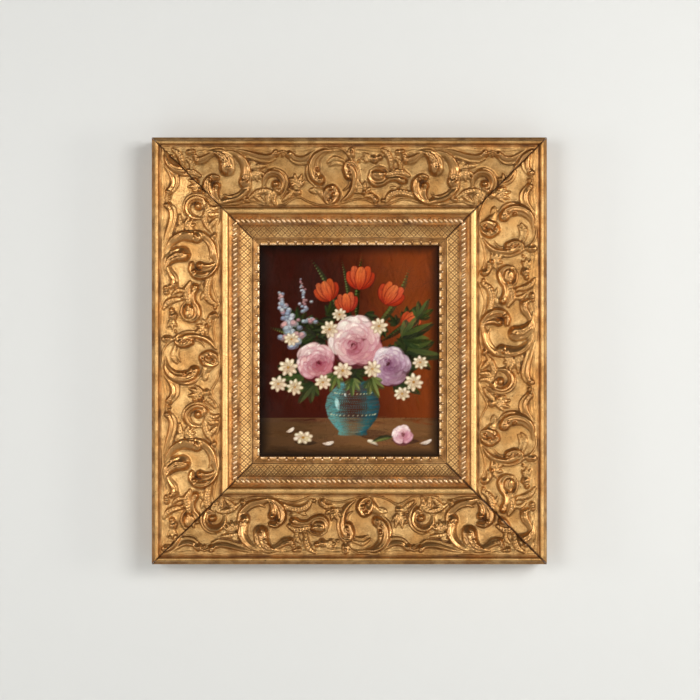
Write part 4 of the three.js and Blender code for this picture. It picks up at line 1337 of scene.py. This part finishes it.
def spike(canvas, foot, top, size, colours, count):
    """A tapering spike of small round florets."""
    for i in np.argsort(canvas.random.uniform(0, 1, count)):
        t = i / count
        at = np.array(foot) * (1 - t) + np.array(top) * t + canvas.random.normal(0,
            size * (1.1 - t) * 0.9, 2)
        colour = colours[canvas.random.integers(len(colours))]
        r = size * (1 - 0.55 * t)
        canvas.stroke([at - (r * 0.3, 0), at + (r * 0.3, 0)], r, mixed(colour, (40, 30, 40), 0.4),
                      load=0.15, cover=0.85)
        canvas.stroke([at + (-r * 0.25, r * 0.1), at + (r * 0.15, r * 0.2)], r * 0.62, colour,
                      load=0.5, cover=0.9)


JAR = ((0, 17), (4, 16), (9, 21), (20, 29), (34, 32.5), (46, 30), (55, 22), (60, 17), (64, 18.5))


def paint_jar(canvas, x, foot):
    """A round glazed jar, turquoise with pale lights and a dark right side."""
    heights, halves = np.array(JAR, float).T
    canvas.stroke([(x + 4, foot + 1), (x + 52, foot - 2)], 12, (44, 26, 14), (78, 50, 28), "blade",
                  0.05, 0.8)
    for z in np.linspace(0, heights[-1], 54):
        half = np.interp(z, heights, halves)
        for side, colour, tip in ((-1, (112, 188, 182), (70, 156, 160)),
                                  (1, (24, 72, 84), (58, 134, 142))):
            path = [(x + side * half, foot + z), (x + side * half * 0.6, foot + z - 1.2),
                    (x - side * half * canvas.random.uniform(0, 0.5), foot + z - 1.6)]
            canvas.stroke(path, 2.6, mixed(colour, (20, 30, 34), 0.25),
                          mixed(tip, (20, 30, 34), 0.2), "line", 0.15, 0.9, 0.45)
    for z, wide in ((24, 0.9), (50, 0.85)):
        for i in range(15):
            a = math.pi * (i + 0.5) / 15
            half = np.interp(z, heights, halves) * wide
            at = (x - half * math.cos(a), foot + z - 2 * math.sin(a))
            canvas.stroke([at, (at[0] + 1.4, at[1] + 1)], 1.9, (206, 200, 158), load=0.5,
                          cover=0.75)
    canvas.stroke([(x - 20, foot + 44), (x - 17, foot + 28)], 6, (190, 224, 214), shape="blade",
                  load=0.6, cover=0.8)
    canvas.stroke([(x - 10, foot + 50), (x - 8, foot + 45)], 2.4, (228, 240, 230), shape="blade",
                  load=0.7)
    canvas.stroke(ring_arc(x + 1, foot + 12, 20, 285, 70, 0.5), 1.6, (150, 190, 176), shape="blade",
                  load=0.4, cover=0.6)


CREAM, CREAM_SHADE, HEART = (232, 217, 186), (176, 146, 112), (150, 96, 34)
LEAF_DARK, LEAF_MID, LEAF_LIGHT = (26, 34, 16), (66, 80, 32), (138, 146, 76)


def paint_bouquet(canvas):
    """Back to front: leaves, spikes, tulips, the jar, the large blooms and the small flowers."""
    random = canvas.random
    for x, z, angle, length, width, bend in (
            (-8, 30, 118, 92, 8, 26), (10, 30, 84, 88, 7, -18), (24, 20, 62, 96, 9, 34),
        (-20, 10, 138, 84, 8, -22),
            (36, 10, 44, 88, 8, 28), (-34, 0, 158, 70, 8, 24), (2, 40, 100, 74, 6, 10)):
        paint_leaf(canvas, x, z, angle, length, width, LEAF_DARK,
                   mixed(LEAF_MID, LEAF_LIGHT, random.uniform(0.2, 0.9)), bend)
    for _ in range(44):
        x, z = random.uniform(-70, 80), random.uniform(-34, 50)
        jagged_leaf(canvas, x, z, random.uniform(0, 360), random.uniform(16, 27), (22, 26, 12),
                    mixed(LEAF_DARK, LEAF_MID, random.uniform(0.4, 1)))
    spike(canvas, (-66, 6), (-84, 72), 8.5, ((168, 182, 190), (196, 204, 208), (140, 152, 170),
                                             (206, 158, 152)), 74)
    spike(canvas, (-50, 30), (-60, 88), 5.5, ((150, 166, 178), (188, 198, 204), (190, 140, 140)),
          36)
    for x, z, r, angle in ((-24, 62, 13, 108), (12, 76, 14.5, 84), (44, 58, 14, 58),
                           (66, 30, 11, 34), (-2, 48, 12, 98)):
        cup_flower(canvas, x, z, r, angle, (92, 14, 8), (172, 48, 22), (222, 126, 66))
    for x, z, angle, size in ((72, -2, -8, 42), (66, 16, 24, 40), (-58, -26, 196, 38),
                              (58, -34, -34, 34), (-44, -40, 232, 30), (84, 40, 60, 26)):
        jagged_leaf(canvas, x, z, angle, size, LEAF_DARK,
                    mixed(LEAF_MID, LEAF_LIGHT, random.uniform(0, 0.5)))
    paint_jar(canvas, 4, -101)
    full_flower(canvas, 8, 12, 33, (226, 212, 198), (204, 160, 156), (132, 46, 66), 4,
                (-0.12, -0.16))
    full_flower(canvas, -40, -12, 25, (218, 190, 184), (190, 128, 132), (120, 32, 52), 4,
                (0.16, -0.12))
    full_flower(canvas, 50, -18, 25, (210, 194, 196), (166, 132, 150), (92, 40, 66), 4,
                (-0.14, 0.14))
    for x, z, angle, size in ((-16, -28, 250, 24), (26, -34, 292, 26), (4, -34, 268, 22)):
        jagged_leaf(canvas, x, z, angle, size, mixed(LEAF_DARK, LEAF_MID, 0.5), LEAF_LIGHT)
    places = ((-74, -20, 10), (-86, -40, 9), (-66, -44, 8.5), (-70, 14, 8), (36, 30, 9),
              (-24, 26, 9), (78, -38, 9.5),
              (64, -52, 8.5), (-8, -24, 10), (28, -22, 9), (86, -14, 8), (-32, -38, 8.5),
              (-12, 44, 7.5))
    for x, z, r in places:
        star_flower(canvas, x, z, r, 8, CREAM, CREAM_SHADE, HEART, random.uniform(0, 60),
                    random.uniform(0.8, 1))
    canvas.stroke([(-60, -30), (-74, -54), (-84, -74)], 1.2, LEAF_MID, shape="line")
    canvas.stroke([(66, -40), (82, -58), (88, -72)], 1.2, LEAF_MID, shape="line")


def paint_table(canvas):
    """Fallen flowers and petals on the table, with their shadows."""
    for x, z, r in ((64, -103, 12), (-56, -106, 10)):
        canvas.stroke([(x - r, z - r * 0.45), (x + r * 1.8, z - r * 0.55)], r * 0.8, (48, 30, 18),
                      shape="blade", load=0.05, cover=0.75)
    full_flower(canvas, 64, -102, 13, (232, 216, 210), (210, 160, 168), (150, 70, 90), 3,
                (0.1, 0.1))
    star_flower(canvas, -56, -105, 10, 8, CREAM, CREAM_SHADE, HEART, 12, 0.6)
    for x, z, angle, length in ((86, -112, 20, 13), (34, -114, 160, 12), (-32, -112, 10, 12),
                                (-76, -98, 30, 9)):
        canvas.stroke(line_to(x + 1.5, z - 2, angle, length, 30), 4.5, (50, 32, 20), shape="blade",
                      load=0.05, cover=0.7)
        canvas.stroke(line_to(x, z, angle, length, 40), 5, (214, 190, 170), (240, 228, 210),
                      "petal", 0.5)
    paint_leaf(canvas, 52, -104, 196, 26, 7, LEAF_DARK, LEAF_LIGHT, 20)


def painted_canvas(seed):
    canvas = Canvas(seed)
    lay_ground(canvas)
    paint_bouquet(canvas)
    paint_table(canvas)
    return canvas


def panel_mesh(name, step, seed, relief_height, materials):
    """The panel: painted front with low brush relief, square edges and a bevelled back."""
    canvas = painted_canvas(seed)
    columns, rows = round(PANEL[0] / step) + 1, round(PANEL[1] / step) + 1
    x, z = np.meshgrid(np.linspace(-PANEL[0] / 2, PANEL[0] / 2, columns),
                       np.linspace(-PANEL[1] / 2, PANEL[1] / 2, rows))
    c = np.clip((x + PANEL[0] / 2) / CANVAS_STEP, 0, canvas.shape[1] - 1.001)
    r = np.clip((z + PANEL[1] / 2) / CANVAS_STEP, 0, canvas.shape[0] - 1.001)
    ic, ir = c.astype(int), r.astype(int)
    fc, fr = c - ic, r - ir

    def at(values):
        weights = ((0, 0, (1 - fr) * (1 - fc)), (0, 1, (1 - fr) * fc), (1, 0, fr * (1 - fc)),
                   (1, 1, fr * fc))
        return sum(values[ir + i, ic + j] * (w if values.ndim == 2 else w[..., None]) for i, j,
                   w in weights)

    colour = screen_to_linear(at(canvas.colour))
    thick = np.clip(at(canvas.relief), -0.2, 1.4) * relief_height / MM
    shown = (np.abs(x) < PANEL_SHOWN[0]) & (np.abs(z) < PANEL_SHOWN[1])
    rise = PANEL_FRONT + np.where(shown, thick, 0)
    points = np.stack([x, -rise, z + CENTRE_Z], -1).reshape(-1, 3)
    number = np.arange(rows * columns).reshape(rows, columns)
    faces = list(grid_quads(number)[:, [0, 3, 2, 1]])
    slots = [0] * len(faces)
    rings = []
    for inset, height in ((0, PANEL_BEVEL[1]), (PANEL_BEVEL[0], PANEL_BACK)):
        w, h = PANEL[0] / 2 - inset, PANEL[1] / 2 - inset
        rings.append([(-w, -height, -h), (w, -height, -h), (w, -height, h), (-w, -height, h)])
    base = len(points)
    points = np.vstack([points] + [np.array(ring) + (0, 0, CENTRE_Z) for ring in rings])
    rims = (number[0, :], number[:, -1], number[-1, ::-1], number[::-1, 0])
    for i, rim in enumerate(rims):
        j = (i + 1) % 4
        faces.append(np.concatenate([rim[::-1], [base + i, base + j]]))
        faces.append(np.array([base + i, base + 4 + i, base + 4 + j, base + j]))
        slots += [1, 1]
    faces.append(base + 4 + np.arange(4))
    slots.append(1)
    thing = mesh_object(name, points * MM, faces, materials, slots, np.array(slots) > 0)
    values = np.ones((len(points), 4))
    values[: rows * columns, :3] = colour.reshape(-1, 3)
    values[rows * columns :, :3] = (0.2, 0.12, 0.06)
    paint_points(thing.data, "paint", values)
    face_outwards(thing.data)
    return thing


def oil_paint(name, varnish):
    """Oil paint in the brushed colours, with brush hairs and fine cracks, thinly varnished."""
    g = Graph(name)
    paint = g.attribute("paint")[0]
    hairs = g.noise(900, 5, 0.65)
    patch = g.noise(30, 3)
    colour = g.mix(g.times(g.ranged(hairs, 0.35, 0.75), 0.16), paint, (0.02, 0.008, 0.004, 1))
    node = g.tree.nodes.new("ShaderNodeTexVoronoi")
    node.feature = "DISTANCE_TO_EDGE"
    node.inputs["Scale"].default_value = 105
    g.feed(node.inputs["Vector"], g.place)
    crack = g.times(g.math("LESS_THAN", node.outputs["Distance"], 0.014), g.ranged(patch, 0.5, 0.6))
    colour = g.mix(g.times(crack, 0.35), colour, (0.02, 0.01, 0.006, 1))
    g.wear("Base Color", colour)
    g.wear("Roughness", g.ranged(patch, 0.35, 0.65, 0.16, 0.26))
    g.wear("Specular IOR Level", 0.12)
    g.wear("Coat Weight", varnish)
    g.wear("Coat Roughness", 0.12)
    g.wear("Normal", g.bump(hairs, 0.2, 0.00012))
    return g.material


def plain_plaster(name, colour, one_sided):
    """Matt pale paint with a faint roller texture, for the floor and the wall behind."""
    g = Graph(name)
    patch, fine = g.noise(1.6, 3), g.noise(220, 4)
    g.wear("Base Color", g.mix(g.times(g.ranged(patch, 0.3, 0.7), 0.05), shade(colour),
                               shade(colour, 0.9)))
    g.wear("Roughness", 0.85)
    g.wear("Specular IOR Level", 0.1)
    g.wear("Normal", g.bump(fine, 0.08, 0.0004))
    if one_sided:
        look = g.tree.nodes.new("ShaderNodeNewGeometry").outputs["Backfacing"]
        shadow = g.tree.nodes.new("ShaderNodeLightPath").outputs["Is Shadow Ray"]
        clear = g.tree.nodes.new("ShaderNodeBsdfTransparent")
        both = g.tree.nodes.new("ShaderNodeMixShader")
        g.feed(both.inputs[0], g.most(look, shadow))
        g.feed(both.inputs[1], g.shader.outputs[0])
        g.feed(both.inputs[2], clear.outputs[0])
        g.feed(g.tree.nodes["Material Output"].inputs["Surface"], both.outputs[0])
    return g.material


# ---- settings ---------------------------------------------------------------------------


def tint(name, description, default):
    return FloatVectorProperty(name=name, description=description, subtype="COLOR", default=default,
                               size=3, min=0, max=1)


class GiltFrameSettings(bpy.types.PropertyGroup):
    relief_step: FloatProperty(name="Relief step",
                               description="Spacing of the points that carry the scrollwork",
                               default=0.00072, min=0.0004, unit="LENGTH")
    rope_pitch: FloatProperty(name="Rope pitch",
                              description="Distance from one strand of the rope to the next",
                              default=ROPE_PITCH * MM, min=0.003, unit="LENGTH")
    leaf_pitch: FloatProperty(name="Leaf pitch",
                              description="Distance from one leaf of the sight edge to the next",
                              default=LEAF_PITCH * MM, min=0.005, unit="LENGTH")
    unit_variation: FloatProperty(name="Unevenness",
                                  description="How much smaller the smallest strand or leaf is",
                                  default=0.08, min=0, max=0.5, subtype="FACTOR")
    seed: IntProperty(name="Seed", description="Picks the unevenness of the hand-finished parts",
                      default=3)
    gold: tint("Gold", "Deep colour of the gold leaf", (0.47, 0.245, 0.078))
    pale_gold: tint("Pale gold", "Colour of the brighter leaf", (0.61, 0.375, 0.148))
    toned: tint("Toned gold", "Brown-toned leaf on the raised forms", (0.45, 0.225, 0.072))
    # highlight: pale colour laid on the crests of the rope, the sight leaves and the pearls as a
    # painted highlight
    highlight: tint("Rubbed gold", "Palest leaf, on the rope and the sight edge",
                    (0.86, 0.62, 0.38))
    clay: tint("Clay", "Red clay that shows where the leaf is thin", (0.42, 0.15, 0.035))
    grime_and_shade: tint("Grime", "Brown dirt that fills the hollows", (0.085, 0.030, 0.008))
    # grime: dark colour of the dirt in the hollows, also laid there as painted shade
    ochre: tint("Ochre", "Yellow clay on the plain sides", (0.46, 0.25, 0.08))
    wood: tint("Wood", "Bare softwood at the back", (0.40, 0.24, 0.12))


class PaintingSettings(bpy.types.PropertyGroup):
    paint_step: FloatProperty(name="Paint step",
                              description="Spacing of the points that carry the paint",
                              default=0.00085, min=0.0005, unit="LENGTH")
    paint_relief: FloatProperty(name="Paint relief",
                                description="Thickness of a loaded brush stroke",
                                default=0.0004, min=0, unit="LENGTH")
    varnish: FloatProperty(name="Varnish", description="How much varnish lies on the paint",
                           default=0.03,
                           min=0, max=1, subtype="FACTOR")
    seed: IntProperty(name="Seed", description="Picks the hand of the brush strokes", default=11)


class StageSettings(bpy.types.PropertyGroup):
    pale: tint("Backdrop", "Colour of the floor and the wall behind", (0.62, 0.625, 0.615))
    floor_drop: FloatProperty(name="Floor",
                              description="Depth of the floor below the picture's lower edge",
                              default=0.35, min=0.05, unit="LENGTH")
    distance: FloatProperty(name="Camera distance",
                            description="From the camera to the front of the frame",
                            default=2.2, min=0.5, unit="LENGTH")
    lens: FloatProperty(name="Lens", description="Focal length in millimetres", default=94.95,
                        min=20)


# ---- operators --------------------------------------------------------------------------


class PICTURE_OT_rails(bpy.types.Operator):
    """Build the four carved and gilded rails with their twisted rope"""

    bl_idname = "picture.rails"
    bl_label = "Gilt rails"

    def execute(self, context):
        setting = context.scene.gilt_frame
        tiles = ornament_tile()
        tree = repeat_tree()
        upright = gilding("upright_gilding", setting.gold, setting.pale_gold, setting.toned,
                          setting.clay,
                          setting.grime_and_shade, True)
        # the level rails take a darkened copy of the gold: painted shade for the weaker light on
        # them
        level = gilding("shaded_level_gilding", *(shade(colour, LEVEL_SHADE)[:3] for colour in (
            setting.gold, setting.pale_gold, setting.toned)), setting.clay, setting.grime_and_shade, True)
        # the palest colour goes on the strands' crests as a painted highlight
        rope_gilt = gilding("rope_gilding", setting.pale_gold, setting.highlight, setting.highlight,
                            setting.clay,
                            setting.grime_and_shade, False)
        side_clay = ochre_side("ochre_clay", setting.ochre, setting.grime_and_shade)
        strand = rope_strand(rope_gilt)
        pitch = setting.rope_pitch / MM
        for i, side in enumerate(RAILS):
            wood = bare_wood(f"bare_wood_{side[0]}", setting.wood, side[1] % 2 == 1)
            body = rail_mesh(f"gilt_rail_{side[0]}", side, setting.seed + 10 * i,
                             setting.relief_step / MM,
                             tiles, [(level, upright)[side[1] % 2], side_clay, wood, rope_gilt])
            room = side[3] - 2 * ROPE[0] - ROPE_PITCH * 0.9
            count = int(room / pitch) + 1
            place = Vector((-(count - 1) * pitch / 2, ROPE[0], ROPE[1]))
            row = row_of_units(tree, strand, count, pitch, place, setting.unit_variation,
                               setting.seed + i, rope_gilt)
            add_row(body, row, 3)
            settle(body, side, "gilt_moulding", f"rail_{side[0]}")
        bpy.data.objects.remove(strand)
        return {"FINISHED"}


class PICTURE_OT_slips(bpy.types.Operator):
    """Build the four slips with the leaves of the sight edge"""

    bl_idname = "picture.slips"
    bl_label = "Sight slips"

    def execute(self, context):
        setting = context.scene.gilt_frame
        tree = repeat_tree()
        # the palest colour goes on the leaf tips and pearls as a painted highlight
        gilt = gilding("slip_gilding", setting.gold, setting.pale_gold, setting.highlight,
                       setting.clay,
                       setting.grime_and_shade, False)
        side_clay = ochre_side("slip_clay", setting.ochre, setting.grime_and_shade)
        wood = bare_wood("slip_wood", setting.wood, False)
        unit, pearl = sight_leaf(gilt), sight_pearl(gilt)
        for i, side in enumerate(RAILS):
            body = slip_mesh(f"gilt_slip_{side[0]}", side, setting.seed + 7 * i,
                             [gilt, side_clay, wood])
            sight = side[3] - 2 * RAIL_WIDTH
            count = round(sight / (setting.leaf_pitch / MM))
            pitch = sight / count
            place = Vector((-(count - 1) * pitch / 2, LEAF_ROOT, 0))
            add_row(body, row_of_units(tree, unit, count, pitch, place, 0.0, setting.seed + i,
                                       gilt), 0)
            place = Vector((-(count - 2) * pitch / 2, PEARL_ACROSS, 0))
            add_row(body, row_of_units(tree, pearl, count - 1, pitch, place, 0.0, setting.seed + i,
                                       gilt), 0)
            settle(body, side, "gilt_slip", f"sight_slip_{side[0]}")
        bpy.data.objects.remove(unit)
        bpy.data.objects.remove(pearl)
        return {"FINISHED"}


class PICTURE_OT_painting(bpy.types.Operator):
    """Build the painted panel"""

    bl_idname = "picture.painting"
    bl_label = "Painted panel"

    def execute(self, context):
        setting = context.scene.painting
        paint = oil_paint("oil_paint", setting.varnish)
        wood = bare_wood("panel_wood", context.scene.gilt_frame.wood, True)
        panel = panel_mesh("painted_panel", setting.paint_step / MM, setting.seed,
                           setting.paint_relief, [paint, wood])
        hand_over(panel, "painted_panel", "painting_panel")
        return {"FINISHED"}


# name, place (its height from the picture's middle), width and height, watts, colour
LIGHTS = (
    ("key", (1.2, -2.0, 0.5), (1.0, 0.8), 35, (1.0, 0.985, 0.96)),
    ("fill", (-1.1, -2.2, 0.2), (0.9, 0.8), 21, (1.0, 0.99, 0.97)),
    ("right_strip", (2.0, -1.0, 0.0), (0.4, 0.7), 12, (1.0, 0.97, 0.92)),
    ("left_strip", (-2.0, -1.1, 0.0), (0.4, 0.7), 8, (1.0, 0.98, 0.94)),
    ("behind", (-1.6, 2.4, 1.2), (1.6, 1.6), 48, (1.0, 0.99, 0.98)),
)
AMBIENT, AMBIENT_COLOUR = 0.16, (0.86, 0.88, 0.9, 1)
WALL_GAP = 0.0012  # from the frame's back to the wall
WALL_HALF = (3, 1.5)
FLOOR_HALF = (5, 5)


def add_plane(name, centre, half_x, half_y, upright, material):
    """A flat sheet, lying or standing and facing the camera."""
    corners = [(-half_x, -half_y), (half_x, -half_y), (half_x, half_y), (-half_x, half_y)]
    points = [(centre[0] + a, centre[1], centre[2] + b) if upright else (centre[0] + a,
        centre[1] + b, centre[2])
              for a, b in corners]
    sheet = mesh_object(name, points, [np.arange(4)], [material], None, [True])


def add_light(name, place, aim, size, power, colour):
    light = bpy.data.lights.new(name, "AREA")
    light.shape, light.size, light.size_y = "RECTANGLE", size[0], size[1]
    light.energy, light.color = power, colour
    lamp = bpy.data.objects.new(name, light)
    lamp.location = place
    lamp.rotation_euler = (Vector(aim) - Vector(place)).to_track_quat("-Z", "Y").to_euler()
    bpy.context.scene.collection.objects.link(lamp)


class PICTURE_OT_stage(bpy.types.Operator):
    """Set up the pale wall and floor, the soft lights and the camera"""

    bl_idname = "picture.stage"
    bl_label = "Stage"

    def execute(self, context):
        setting = context.scene.picture_stage
        middle = (CAD_LOW + CAD_HIGH) / 2
        floor = CAD_LOW.z - setting.floor_drop
        add_plane("stage_floor", (0, 0, floor), *FLOOR_HALF, False,
                  plain_plaster("stage_floor_paint", setting.pale, False))
        add_plane("stage_wall", (0, WALL_GAP, floor + WALL_HALF[1]), *WALL_HALF, True,
                  plain_plaster("stage_wall_paint", setting.pale, True))
        aim = (0, 0, middle.z)
        for name, (x, y, up), size, power, colour in LIGHTS:
            add_light(name, (x, y, middle.z + up), aim, size, power, colour)
        world = bpy.data.worlds.new("studio")
        world.use_nodes = True
        background = world.node_tree.nodes["Background"]
        background.inputs["Color"].default_value = AMBIENT_COLOUR
        background.inputs["Strength"].default_value = AMBIENT
        context.scene.world = world
        context.scene.view_settings.view_transform = "Standard"
        lens = bpy.data.cameras.new("camera")
        lens.lens, lens.sensor_width = setting.lens, 36
        camera = bpy.data.objects.new("camera", lens)
        camera.location = (0.0008, CAD_LOW.y - setting.distance, middle.z + 0.001)
        camera.rotation_euler = (math.pi / 2, 0, 0)
        context.scene.collection.objects.link(camera)
        context.scene.camera = camera
        return {"FINISHED"}


class PICTURE_PT_panel(bpy.types.Panel):
    """Lists the steps that build the picture"""

    bl_label = "Framed picture"
    bl_idname = "PICTURE_PT_panel"
    bl_space_type = "VIEW_3D"
    bl_region_type = "UI"
    bl_category = "Picture"

    def draw(self, context):
        scene = context.scene
        for settings, names in (
                (scene.gilt_frame, ("relief_step", "rope_pitch", "leaf_pitch", "unit_variation",
                                    "seed", "gold",
                                    "pale_gold", "toned", "highlight", "clay", "grime_and_shade", "ochre",
                                    "wood")),
                (scene.painting, ("paint_step", "paint_relief", "varnish", "seed")),
                (scene.picture_stage, ("pale", "floor_drop", "distance", "lens"))):
            box = self.layout.box()
            for name in names:
                box.prop(settings, name)
        for step in STEPS:
            self.layout.operator(step.bl_idname)


SETTINGS = (("gilt_frame", GiltFrameSettings), ("painting", PaintingSettings),
            ("picture_stage", StageSettings))
STEPS = (PICTURE_OT_stage, PICTURE_OT_rails, PICTURE_OT_slips, PICTURE_OT_painting)
CLASSES = tuple(group for _, group in SETTINGS) + STEPS + (PICTURE_PT_panel,)


def register():
    for kind in CLASSES:
        bpy.utils.register_class(kind)
    for name, group in SETTINGS:
        setattr(bpy.types.Scene, name, PointerProperty(type=group))


def unregister():
    for name, _ in SETTINGS:
        delattr(bpy.types.Scene, name)
    for kind in reversed(CLASSES):
        bpy.utils.unregister_class(kind)


def main():
    register()
    bpy.ops.picture.stage()
    bpy.ops.picture.rails()
    bpy.ops.picture.slips()
    bpy.ops.picture.painting()


if __name__ == "__main__":
    main()
